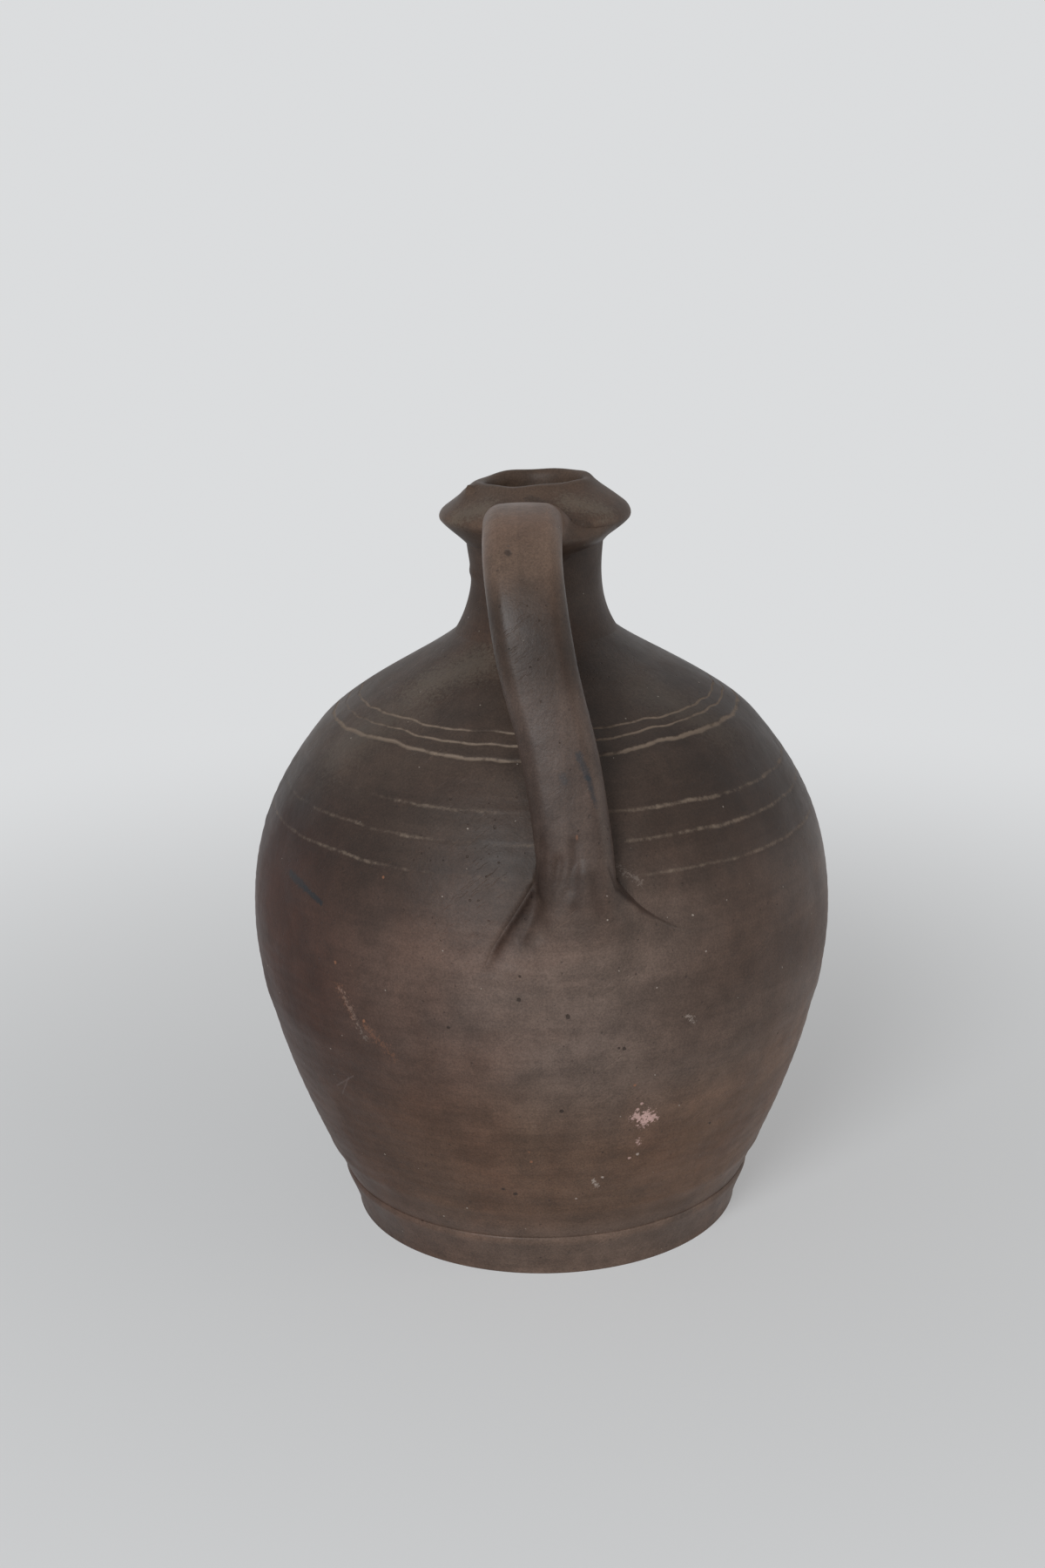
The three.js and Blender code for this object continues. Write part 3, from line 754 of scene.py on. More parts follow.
def handle_skin():
    """Points and faces of the whole handle, each point then drawn onto the surface in two steps."""
    axes = [np.arange(a, b, NET_STEP) for a, b in zip(NET_LOW, NET_HIGH)]
    y, z = np.meshgrid(axes[1], axes[2], indexing="ij")
    near = nearest_sample(y, z)
    x = axes[0][:, None, None]
    shape = (len(axes[0]), *y.shape)
    x, y, z = (np.broadcast_to(a, shape) for a in (x, y[None], z[None]))
    near = np.broadcast_to(near[None], shape)
    distances = without_diagonals(handle_field(x, y, z, near))
    points, faces = largest_part(*skin(distances, NET_LOW, NET_STEP))
    for _ in range(2):
        near = nearest_sample(points[:, 1], points[:, 2])
        here = handle_field(*points.T, near)
        slope = np.empty_like(points)
        for axis in range(3):
            moved = points.copy()
            moved[:, axis] += PROBE
            near = nearest_sample(moved[:, 1], moved[:, 2])
            slope[:, axis] = (handle_field(*moved.T, near) - here) / PROBE
        size = np.maximum((slope**2).sum(1), 0.25)
        points = points - np.clip(here / size, -0.35, 0.35)[:, None] * slope * 0.8
    return points, faces


# Where the handle's skin is parted into the upper root, the strap and the lower root
UPPER_SEAM = Vector((0, -44 * MM, 0))
LOWER_SEAM = Vector((0, 0, 192 * MM))


def part_of_handle(name, whole, cuts):
    """Copy of the handle's skin kept on one side of each cut, closed flat there."""
    shape = bmesh.new()
    shape.from_mesh(whole)
    for place, normal in cuts:
        everything = shape.verts[:] + shape.edges[:] + shape.faces[:]
        plane = {"plane_co": place, "plane_no": normal, "clear_outer": True}
        cut = bmesh.ops.bisect_plane(shape, geom=everything, dist=1e-7, **plane)
        rim = [e for e in cut["geom_cut"] if isinstance(e, bmesh.types.BMEdge)]
        filled = bmesh.ops.holes_fill(shape, edges=rim, sides=0)["faces"]
        for edge in rim:
            edge.smooth = False
        for face in filled:
            face.smooth = False
    mesh = bpy.data.meshes.new(name)
    shape.to_mesh(mesh)
    shape.free()
    piece = bpy.data.objects.new(name, mesh)
    bpy.context.scene.collection.objects.link(piece)
    return piece


def make_handle():
    points, faces = handle_skin()
    near = nearest_sample(points[:, 1], points[:, 2])
    strap = strap_field(*points.T, near)
    x, y, z = points.T
    left, right, edge = lip_distances(x, z)
    low = ease(200, 180, z) * ease(-80, -95, y)
    beside = ease(0.2, 1.2, strap)
    # Painted shade: the fourth mark darkens the hollow inside the left lip, the right lip's edge, the
    # flutes and the strap's left flank below the bend.
    painted_shade = 0.9 * ease(-0.4, 0.5, left) * ease(6.5, 1.5, left) * ease(3, 16, edge) * low
    painted_shade = np.maximum(painted_shade, hump(right, -0.2, 0.8) * ease(2, 8, edge) * low * beside * ease(46, 30, x))
    for path, width, depth in FLUTES:
        painted_shade = np.maximum(painted_shade, 0.4 * near_path(x, z, path, width * 1.2) * low)
    painted_shade = np.maximum(painted_shade, 0.6 * near_path(x, z, ((0.5, 178), (1.0, 166), (-0.4, 156)), 3.2) * low)
    side = x - strap_measures[near, 0]
    flank = ease(-5.5, -11.5, side) * ease(235, 212, z) * ease(3, 1, strap)
    painted_shade = np.maximum(painted_shade, 0.55 * flank)
    marks = {"pulled": ease(3.0, 0.5, strap) * ease(150, 172, z), "painted_shade": painted_shade}
    whole = new_piece("handle_skin", points, faces.tolist(), marks)
    up, down = Vector((0, 0, 1)), Vector((0, 0, -1))
    out, back = Vector((0, -1, 0)), Vector((0, 1, 0))
    pieces = [
        part_of_handle("pulled_strap", whole.data, [(UPPER_SEAM, back), (LOWER_SEAM, down)]),
        part_of_handle("upper_root_clay", whole.data, [(UPPER_SEAM, out), (LOWER_SEAM, down)]),
        part_of_handle("lower_root_clay", whole.data, [(LOWER_SEAM, up)]),
    ]
    mesh = whole.data
    bpy.data.objects.remove(whole)
    bpy.data.meshes.remove(mesh)
    return pieces


class Nodes:
    """Short ways to add nodes to a tree and join them."""

    def __init__(self, tree):
        self.tree = tree

    def add(self, kind, inputs=None, **settings):
        made = self.tree.nodes.new(kind)
        for key, value in settings.items():
            setattr(made, key, value)
        for key, value in (inputs or {}).items():
            self.feed(made.inputs[key], value)
        return made

    def feed(self, socket, value):
        if isinstance(value, bpy.types.NodeSocket):
            self.tree.links.new(value, socket)
        elif value is not None:
            socket.default_value = value

    def maths(self, operation, *values, clamp=False):
        made = self.add("ShaderNodeMath", operation=operation, use_clamp=clamp)
        for socket, value in zip(made.inputs, values):
            self.feed(socket, value)
        return made.outputs[0]

    def times(self, first, second):
        return self.maths("MULTIPLY", first, second)

    def plus(self, first, second, clamp=False):
        return self.maths("ADD", first, second, clamp=clamp)

    def minus(self, first, second):
        return self.maths("SUBTRACT", first, second)

    def vector(self, operation, first, second=None):
        made = self.add("ShaderNodeVectorMath", operation=operation)
        self.feed(made.inputs[0], first)
        if operation == "SCALE":
            self.feed(made.inputs["Scale"], second)
        elif second is not None:
            self.feed(made.inputs[1], second)
        return made.outputs["Value" if operation in ("LENGTH", "DOT_PRODUCT") else "Vector"]

    def fade(self, value, low, high, start=0.0, end=1.0):
        made = self.add(
            "ShaderNodeMapRange",
            {"Value": value, "From Min": low, "From Max": high, "To Min": start, "To Max": end},
            interpolation_type="SMOOTHSTEP",
        )
        return made.outputs[0]

    def noise(self, place, scale, detail=3.0, roughness=0.55, distortion=0.0, out="Fac"):
        values = {
            "Vector": place,
            "Scale": scale,
            "Detail": detail,
            "Roughness": roughness,
            "Distortion": distortion,
        }
        return self.add("ShaderNodeTexNoise", values).outputs[out]

    def mix(self, share, low, high, mode="MIX"):
        made = self.add("ShaderNodeMix", data_type="RGBA", blend_type=mode, clamp_result=False)
        for index, value in ((0, share), (6, low), (7, high)):
            self.feed(made.inputs[index], value)
        return made.outputs[2]

    def tint(self, share, colour, factor):
        return self.mix(share, colour, factor, "MULTIPLY")

    def mix_value(self, share, low, high):
        made = self.add("ShaderNodeMix", data_type="FLOAT")
        for index, value in enumerate((share, None, low, high)):
            self.feed(made.inputs[index], value)
        return made.outputs[0]

    def group(self, tree, inputs):
        made = self.add("ShaderNodeGroup", node_tree=tree)
        for key, value in inputs.items():
            self.feed(made.inputs[key], value)
        return made.outputs


# Hand-worked surface: one geometry tree moves every point a little, by its place alone, so that pieces
# that meet move together


def worked_tree():
    tree = bpy.data.node_groups.new("hand_worked_clay", "GeometryNodeTree")
    face = tree.interface
    face.new_socket("Geometry", in_out="INPUT", socket_type="NodeSocketGeometry")
    for name, socket in (
        ("Wobble", "NodeSocketFloat"),
        ("Wobble Scale", "NodeSocketFloat"),
        ("Ridge Height", "NodeSocketFloat"),
        ("Ridge Spacing", "NodeSocketFloat"),
        ("Seed", "NodeSocketFloat"),
        ("Material", "NodeSocketMaterial"),
    ):
        face.new_socket(name, in_out="INPUT", socket_type=socket)
    face.new_socket("Geometry", in_out="OUTPUT", socket_type="NodeSocketGeometry")
    n = Nodes(tree)
    given = n.add("NodeGroupInput")
    place = n.add("GeometryNodeInputPosition").outputs[0]
    values = {"Vector": place, "W": given.outputs["Seed"], "Scale": given.outputs["Wobble Scale"]}
    noise = n.add("ShaderNodeTexNoise", {**values, "Detail": 2.0}, noise_dimensions="4D")
    centred = n.vector("SUBTRACT", noise.outputs["Color"], (0.5, 0.5, 0.5))
    wobble = n.vector("SCALE", centred, given.outputs["Wobble"])
    split = n.add("ShaderNodeSeparateXYZ", {"Vector": place})
    angle = n.maths("ARCTAN2", split.outputs["X"], split.outputs["Y"])
    turns = n.maths("DIVIDE", angle, 2 * np.pi)
    lines = n.maths("DIVIDE", split.outputs["Z"], given.outputs["Ridge Spacing"])
    uneven = n.times(noise.outputs["Fac"], 3.0)
    phase = n.times(n.plus(n.plus(turns, lines), uneven), 2 * np.pi)
    wave = n.times(n.maths("SINE", phase), given.outputs["Ridge Height"])
    flat = n.add("ShaderNodeCombineXYZ", {"X": split.outputs["X"], "Y": split.outputs["Y"]})
    outward = n.vector("NORMALIZE", flat.outputs[0])
    low = n.fade(split.outputs["Z"], 0.020, 0.034)
    high = n.fade(split.outputs["Z"], 0.200, 0.186)
    pulled = n.add("GeometryNodeInputNamedAttribute", {"Name": "pulled"}, data_type="FLOAT").outputs[0]
    thrown = n.minus(1.0, pulled)
    wave = n.times(wave, thrown)
    ridge = n.vector("SCALE", outward, n.times(wave, n.times(low, high)))
    ground = n.fade(split.outputs["Z"], 0.0005, 0.006)
    offset = n.vector("SCALE", n.vector("ADD", wobble, ridge), ground)
    moved = n.add("GeometryNodeSetPosition", {"Geometry": given.outputs["Geometry"], "Offset": offset})
    real = n.add("GeometryNodeRealizeInstances", {"Geometry": moved.outputs[0]})
    dressed = n.add(
        "GeometryNodeSetMaterial", {"Geometry": real.outputs[0], "Material": given.outputs["Material"]}
    )
    n.add("NodeGroupOutput", {"Geometry": dressed.outputs[0]})
    return tree


def work_clay(piece, tree, material):
    """Runs the tree on a piece and keeps the result as its plain mesh."""
    modifier = piece.modifiers.new("hand_worked", "NODES")
    modifier.node_group = tree
    values = {
        "Wobble": 0.55 * MM,
        "Wobble Scale": 28.0,
        "Ridge Height": 0.06 * MM,
        "Ridge Spacing": 5.2 * MM,
        "Seed": 3.7,
        "Material": material,
    }
    for item in tree.interface.items_tree:
        if item.item_type == "SOCKET" and item.in_out == "INPUT" and item.name in values:
            modifier[item.identifier] = values[item.name]
    piece.data.materials.append(material)
    graph = bpy.context.evaluated_depsgraph_get()
    result = bpy.data.meshes.new_from_object(piece.evaluated_get(graph), depsgraph=graph)
    rough = piece.data
    piece.modifiers.clear()
    piece.data = result
    bpy.data.meshes.remove(rough)
    result.name = piece.name


# Shared effects of the fired clay, each a node group with named inputs and outputs


def new_group(name, inputs, outputs):
    tree = bpy.data.node_groups.new(name, "ShaderNodeTree")
    kinds = {"value": "NodeSocketFloat", "vector": "NodeSocketVector", "colour": "NodeSocketColor"}
    for socket, kind in inputs.items():
        tree.interface.new_socket(socket, in_out="INPUT", socket_type=kinds[kind])
    for socket, kind in outputs.items():
        tree.interface.new_socket(socket, in_out="OUTPUT", socket_type=kinds[kind])
    n = Nodes(tree)
    return tree, n, n.add("NodeGroupInput").outputs


# Factors on the clay's colour: at the body's sides, partly the clay's tone and partly painted light; in
# the kiln's patches; where it is handled, with a painted highlight on the foot's upper edge; and painted
# shade in the handle's hollows and on the strap's left flank
LEFT_TONE_AND_SHADE_TINT = (0.25, 0.105, 0.06, 1)
UPPER_RIGHT_TONE_AND_SHADE_TINT = (0.56, 0.49, 0.45, 1)
LOWER_RIGHT_TONE_AND_LIGHT_TINT = (1.22, 1.18, 1.12, 1)
RED_PATCH = (1.05, 0.96, 0.92, 1)
GREY_PATCH = (0.93, 0.94, 0.96, 1)
WEAR_AND_HIGHLIGHT_TINT = (1.5, 1.45, 1.4, 1)
PAINTED_SHADE_TINT = (0.42, 0.33, 0.29, 1)
SCUFF_TINT = (1.7, 1.65, 1.6, 1)

# Heights between which one tone passes into the next, in metres
FOOT_TO_LOWER = (0.017, 0.03)
LOWER_TO_BELLY = (0.060, 0.110)
BELLY_TO_SHOULDER = (0.134, 0.182)
SHOULDER_TO_NECK = (0.226, 0.24)
NECK_TO_MOUTH = (0.264, 0.272)


def tone_and_painted_light():
    """Tone by height and side, with faint red and grey patches from the kiln, and mottled. The factors at
    the sides are partly the clay's tone and partly painted light: painted shade on the left and upper
    right, and painted light on the lower right.
    """
    colours = ("Foot", "Lower", "Belly", "Shoulder", "Neck", "Mouth")
    inputs = {"Place": "vector", **{c: "colour" for c in colours}, "Side": "value", "Spread": "value"}
    tree, n, given = new_group("tone_and_painted_light", inputs, {"Color": "colour"})
    place = given["Place"]
    split = n.add("ShaderNodeSeparateXYZ", {"Vector": place})
    x, z = split.outputs["X"], split.outputs["Z"]
    clouds = n.noise(place, 12.0, 6.0, 0.6, 0.5, out="Color")
    broad = n.add("ShaderNodeSeparateColor", {"Color": clouds}).outputs
    drift = n.times(n.minus(broad[0], 0.5), 0.06)
    height = n.plus(z, drift)
    tone = n.mix(n.fade(z, *FOOT_TO_LOWER), given["Foot"], given["Lower"])
    tone = n.mix(n.fade(height, *LOWER_TO_BELLY), tone, given["Belly"])
    tone = n.mix(n.fade(height, *BELLY_TO_SHOULDER), tone, given["Shoulder"])
    tone = n.mix(n.fade(z, *SHOULDER_TO_NECK), tone, given["Neck"])
    mouth_low = n.minus(NECK_TO_MOUTH[0], given["Spread"])
    mouth_high = n.plus(NECK_TO_MOUTH[1], given["Spread"])
    tone = n.mix(n.fade(z, mouth_low, mouth_high), tone, given["Mouth"])
    sideways = n.plus(x, n.times(drift, 0.5))
    # Left side darkened: partly the smoked clay's own tone, partly painted shade where the belly turns
    # away from the light.
    left = n.times(n.fade(sideways, 0.004, -0.108), n.fade(height, 0.05, 0.1, 0.75, 1.0))
    left = n.times(left, n.fade(height, 0.205, 0.165))
    tone = n.tint(n.times(left, given["Side"]), tone, LEFT_TONE_AND_SHADE_TINT)
    # Right side: the upper part is darkened, partly darker tone and partly painted shade where it turns
    # away from the light. The lower part is lightened, partly lighter tone and partly painted light thrown
    # up from below.
    right = n.times(n.fade(sideways, 0.02, 0.07), n.fade(x, 0.115, 0.085, 0.5, 1.0))
    right = n.times(right, given["Side"])
    upper_right = n.times(right, n.fade(height, 0.085, 0.12))
    tone = n.tint(upper_right, tone, UPPER_RIGHT_TONE_AND_SHADE_TINT)
    lower_right = n.times(right, n.fade(height, 0.1, 0.075))
    lower_right = n.times(lower_right, n.fade(z, *FOOT_TO_LOWER))
    tone = n.tint(lower_right, tone, LOWER_RIGHT_TONE_AND_LIGHT_TINT)
    tone = n.tint(n.fade(broad[1], 0.45, 0.70), tone, RED_PATCH)
    tone = n.tint(n.fade(broad[2], 0.50, 0.68), tone, GREY_PATCH)
    small = n.noise(place, 75.0, 5.0, 0.65)
    tone = n.tint(1.0, tone, n.fade(small, 0.3, 0.7, 0.80, 1.20))
    fine = n.noise(place, 1300.0, 3.0, 0.8)
    tone = n.tint(1.0, tone, n.fade(fine, 0.3, 0.7, 0.78, 1.22))
    n.add("NodeGroupOutput", {"Color": tone})
    return tree


def wiped_streaks():
    """Fine lines that a wet hand or rib leaves, drawn out by the stretch of the place."""
    tree, n, given = new_group(
        "wiped_streaks", {"Place": "vector", "Stretch": "vector"}, {"Height": "value", "Tint": "value"}
    )
    drawn = n.vector("MULTIPLY", given["Place"], given["Stretch"])
    fine = n.noise(drawn, 1.0, 3.0, 0.6)
    wide = n.noise(n.vector("MULTIPLY", drawn, (0.27, 0.27, 0.27)), 1.0, 2.0, 0.5)
    height = n.plus(n.times(fine, 0.45), n.times(wide, 0.55))
    tint = n.fade(height, 0.36, 0.64)
    n.add("NodeGroupOutput", {"Height": height, "Tint": tint})
    return tree


def grit_and_pits():
    """Pale grit, open pits and rusty specks, scattered thinly."""
    tree, n, given = new_group(
        "grit_and_pits",
        {"Place": "vector", "Amount": "value"},
        {"Grit": "value", "Pits": "value", "Pocks": "value", "Rust": "value", "Scuffs": "value"},
    )
    shaken = n.noise(given["Place"], 420.0, 2.0, 0.5, out="Color")
    shaken = n.vector("SCALE", n.vector("SUBTRACT", shaken, (0.5, 0.5, 0.5)), 0.0012)
    place = n.vector("ADD", given["Place"], shaken)

    def scatter(scale, kept, size, shift):
        cells = n.add("ShaderNodeTexVoronoi", {"Vector": n.vector("ADD", place, shift), "Scale": scale})
        pick = n.add("ShaderNodeSeparateColor", {"Color": cells.outputs["Color"]}).outputs
        share = n.times(kept, given["Amount"])
        chosen = n.maths("LESS_THAN", pick[0], share)
        reach = n.times(n.plus(pick[1], 0.35), size * scale)
        inner = n.times(reach, 0.45)
        return n.times(n.fade(cells.outputs["Distance"], reach, inner), chosen)

    grit = scatter(230.0, 0.20, 0.00036, (0.0, 0.0, 0.0))
    pits = scatter(105.0, 0.20, 0.00055, (0.4, 0.1, 0.2))
    pocks = scatter(310.0, 0.40, 0.00045, (0.7, 0.3, 0.6))
    rust = scatter(62.0, 0.08, 0.0006, (0.2, 0.5, 0.3))
    split = n.add("ShaderNodeSeparateXYZ", {"Vector": place})
    x, y, z = (split.outputs[axis] for axis in "XYZ")
    along = n.plus(n.times(x, 0.8), n.times(z, 0.6))
    across = n.minus(n.times(z, 0.8), n.times(x, 0.6))
    turned = n.add("ShaderNodeCombineXYZ", {"X": along, "Y": y, "Z": across})
    drawn = n.vector("MULTIPLY", turned.outputs[0], (110.0, 110.0, 1700.0))
    lines = n.fade(n.noise(drawn, 1.0, 2.0, 0.5), 0.60, 0.70)
    scuffs = n.times(lines, n.fade(n.noise(place, 34.0, 3.0, 0.6), 0.50, 0.64))
    scuffs = n.times(scuffs, given["Amount"])
    marks = {"Grit": grit, "Pits": pits, "Pocks": pocks, "Rust": rust, "Scuffs": scuffs}
    n.add("NodeGroupOutput", marks)
    return tree


def ragged_mark():
    """Mask of one blot or stroke between two points. Pattern is a noise that frays its edge."""
    inputs = {"Place": "vector", "From": "vector", "To": "vector"}
    inputs.update({key: "value" for key in ("Width", "Raggedness", "Softness", "Pattern")})
    tree, n, given = new_group("ragged_mark", inputs, {"Mask": "value"})
    run = n.vector("SUBTRACT", given["To"], given["From"])
    away = n.vector("SUBTRACT", given["Place"], given["From"])
    length = n.plus(n.vector("DOT_PRODUCT", run, run), 1e-9)
    share = n.maths("DIVIDE", n.vector("DOT_PRODUCT", away, run), length, clamp=True)
    gap = n.vector("LENGTH", n.vector("SUBTRACT", away, n.vector("SCALE", run, share)))
    frayed = n.times(n.minus(given["Pattern"], 0.5), given["Raggedness"])
    reach = n.plus(n.maths("DIVIDE", gap, given["Width"]), frayed)
    outer = n.plus(1.0, given["Softness"])
    inner = n.minus(1.0, given["Softness"])
    n.add("NodeGroupOutput", {"Mask": n.fade(reach, outer, inner)})
    return tree


TONE, STREAKS, GRIT, MARK = tone_and_painted_light(), wiped_streaks(), grit_and_pits(), ragged_mark()

# The clay's colours by height, then those of its marks, and how far each streak is drawn out
BODY_TONES = {
    "Foot": (0.128, 0.086, 0.066, 1),
    "Lower": (0.114, 0.068, 0.046, 1),
    "Belly": (0.140, 0.099, 0.080, 1),
    # The shoulder's dark tone is partly its smoked clay and partly painted shade on its up-facing slope.
    "Shoulder": (0.054, 0.036, 0.027, 1),
    "Neck": (0.044, 0.026, 0.018, 1),
    "Mouth": (0.074, 0.047, 0.033, 1),
    "Side": 1.0,
    "Spread": 0.0,
}
STRAP_LOW = (0.076, 0.051, 0.040, 1)
STRAP_HIGH = (0.150, 0.097, 0.070, 1)
STRAP_TONES = {
    "Foot": STRAP_LOW,
    "Lower": STRAP_LOW,
    "Belly": STRAP_LOW,
    "Shoulder": STRAP_LOW,
    "Neck": (0.040, 0.025, 0.018, 1),
    "Mouth": STRAP_HIGH,
    "Side": 0.0,
    "Spread": 0.012,
}
RESIDUE = (0.225, 0.170, 0.130, 1)
PALE_GRIT = (0.42, 0.36, 0.31, 1)
RUST = (0.30, 0.13, 0.07, 1)
# Dark of the pits, pocks and pit marks: painted shade inside them, besides the bump that sinks them.
PIT_SHADE = (0.028, 0.018, 0.014, 1)
PINK = (0.62, 0.41, 0.37, 1)
CHALK = (0.50, 0.42, 0.37, 1)
DUST = (0.155, 0.125, 0.095, 1)
SOOT = (0.016, 0.016, 0.018, 1)
BLUE_SOOT = (0.020, 0.026, 0.032, 1)
SCRATCH = (0.16, 0.12, 0.11, 1)
BODY_STRETCH = (14.0, 14.0, 420.0)
STRAP_STRETCH = (420.0, 16.0, 16.0)


def on_wall(x, z):
    """Point on the body's front at a sideways place and height, in mm."""
    return (x, -((radius_at(z) ** 2 - x**2) ** 0.5), z)


def on_strap(x, z):
    """Point on the strap's outer face at a sideways place and height, past the bend, in mm."""
    face = strap_middle + STRAP_DEPTHS[0] / 2 * strap_normal
    past_bend = face[:, 0] > 60
    pick = np.argmin(np.where(past_bend, np.abs(face[:, 1] - z), np.inf))
    return (x, -face[pick, 0], face[pick, 1])


def mark(place, points, width, raggedness, softness, colour, share):
    """One mark between two points, with its width in mm. One point makes a blot."""
    start, end = (Vector(place(*p)) * MM for p in (points[0], points[-1]))
    return start, end, width * MM, raggedness, softness, colour, share


def blots(place, points, colour, share, raggedness=1.6, softness=0.25):
    """Small marks, each given as sideways place, height and width."""
    return [mark(place, [p[:2]], p[2], raggedness, softness, colour, share) for p in points]


# Single marks on each piece: from and to, width, raggedness, softness, colour and share
BELLY_MARKS = [
    mark(on_wall, [(32.4, 74.6), (38.6, 72.6)], 1.5, 9.0, 0.25, PINK, 0.8),
    mark(on_wall, [(35.2, 71.6), (36.6, 74.8)], 1.7, 9.0, 0.25, PINK, 0.8),
    *blots(on_wall, [(34.6, 80.0, 0.55), (33.2, 77.7, 0.6), (30.2, 55.4, 0.5)], PINK, 0.7, 3.4),
    mark(on_wall, [(33.1, 63.6), (33.6, 61.4)], 0.5, 11.0, 0.3, PINK, 0.7),
    *blots(on_wall, [(33.2, 56.6, 0.6), (20.4, 47.8, 0.5), (10.7, 38.2, 0.4)], CHALK, 0.7, 2.6),
    mark(on_wall, [(16.6, 46.8), (18.6, 43.4)], 0.5, 13.0, 0.3, CHALK, 0.6),
    mark(on_wall, [(50.8, 113.6), (53.2, 110.4)], 0.5, 16.0, 0.3, CHALK, 0.4),
    mark(on_wall, [(-74.0, 124.0), (-68.0, 110.0)], 0.7, 26.0, 0.5, RUST, 0.25),
    mark(on_wall, [(-64.0, 108.0), (-54.0, 99.0)], 0.7, 26.0, 0.5, RUST, 0.25),
    mark(on_wall, [(-72.0, 120.0), (-64.0, 103.0)], 0.45, 30.0, 0.5, CHALK, 0.15),
    mark(on_wall, [(-77.0, 76.0), (-70.0, 84.0)], 0.3, 1.4, 0.8, SCRATCH, 0.35),
    mark(on_wall, [(-75.0, 73.0), (-72.0, 82.5)], 0.3, 1.4, 0.8, SCRATCH, 0.35),
    *blots(on_wall, [(5.8, 80.2, 0.7), (-15.9, 43, 0.6), (-11.5, 40.9, 0.7)], PIT_SHADE, 0.8),
    *blots(on_wall, [(-33.3, 113.7, 0.5), (8.4, 119.2, 0.8), (28.1, 104.8, 0.6)], PIT_SHADE, 0.8),
    *blots(on_wall, [(26.2, 105.2, 0.4), (60.5, 62.5, 0.5)], PIT_SHADE, 0.8),
    *blots(on_wall, [(-64.1, 110.4, 0.6), (-5.4, 57.2, 0.6), (32.0, 88.5, 0.6)], RUST, 0.7),
]
SHOULDER_MARKS = [
    mark(on_wall, [(-91.5, 155.0), (-85.6, 152.6)], 1.4, 3.4, 0.5, SOOT, 0.85),
    mark(on_wall, [(-85.6, 152.6), (-79.0, 149.8)], 1.0, 2.6, 0.4, SOOT, 0.95),
    mark(on_wall, [(-22.0, 226.5), (-40.0, 219.5)], 7.5, 6.0, 1.0, DUST, 0.4),
    mark(on_wall, [(-48.0, 213.0), (-72.0, 197.0)], 9.0, 6.0, 1.0, DUST, 0.22),
    mark(on_wall, [(40.0, 217.0), (64.0, 204.0)], 8.0, 6.0, 1.0, DUST, 0.2),
    mark(on_wall, [(26.4, 169.5), (34.6, 163.6)], 0.45, 28.0, 0.5, CHALK, 0.15),
    *blots(on_wall, [(-8.4, 125.8, 0.7), (60.6, 211.6, 0.6)], PIT_SHADE, 0.8),
    *blots(on_wall, [(-74.1, 130.1, 0.6), (-55.3, 163.7, 0.5)], RUST, 0.6),
]
MOUTH_MARKS = [
    mark(on_wall, [(13.0, 284.0), (25.0, 280.0)], 3.4, 7.0, 1.0, DUST, 0.5),
    mark(on_wall, [(-29.0, 278.5), (-18.0, 282.5)], 3.4, 7.0, 1.0, DUST, 0.5),
    mark(on_wall, [(17.0, 277.0), (23.0, 278.6)], 0.5, 2.0, 0.6, CHALK, 0.5),
    mark(on_wall, [(19.0, 280.0), (25.0, 281.4)], 0.4, 2.0, 0.6, CHALK, 0.4),
    mark(on_wall, [(-2.0, 286.0), (4.0, 284.0)], 1.3, 3.0, 0.7, PIT_SHADE, 0.5),
    mark(on_wall, [(13.0, 277.5), (19.0, 276.0)], 1.5, 4.0, 0.7, PIT_SHADE, 0.4),
]
HANDLE_MARKS = [
    mark(on_strap, [(13.6, 211.5), (16.8, 204.0)], 1.2, 3.0, 0.6, BLUE_SOOT, 0.6),
    mark(on_strap, [(16.8, 204.0), (19.6, 194.0)], 1.1, 1.8, 0.5, BLUE_SOOT, 0.75),
    mark(on_strap, [(8.0, 204.5), (8.6, 202.5)], 1.1, 2.6, 0.6, BLUE_SOOT, 0.4),
    mark(on_strap, [(-9.3, 276.6), (-9.0, 276.2)], 1.0, 1.0, 0.5, PIT_SHADE, 0.7),
    mark(on_strap, [(12.4, 184.8), (12.4, 183.4)], 0.35, 1.0, 0.6, RUST, 0.4),
    *blots(on_wall, [(19.4, 149.0, 0.7)], RUST, 0.5),
    *blots(on_wall, [(9.4, 125.1, 0.7)], PIT_SHADE, 0.8),
]
FOOT_MARKS = [
    mark(on_wall, [(49.5, 17.2), (54.5, 17.2)], 2.4, 2.6, 0.9, BLUE_SOOT, 0.35),
]


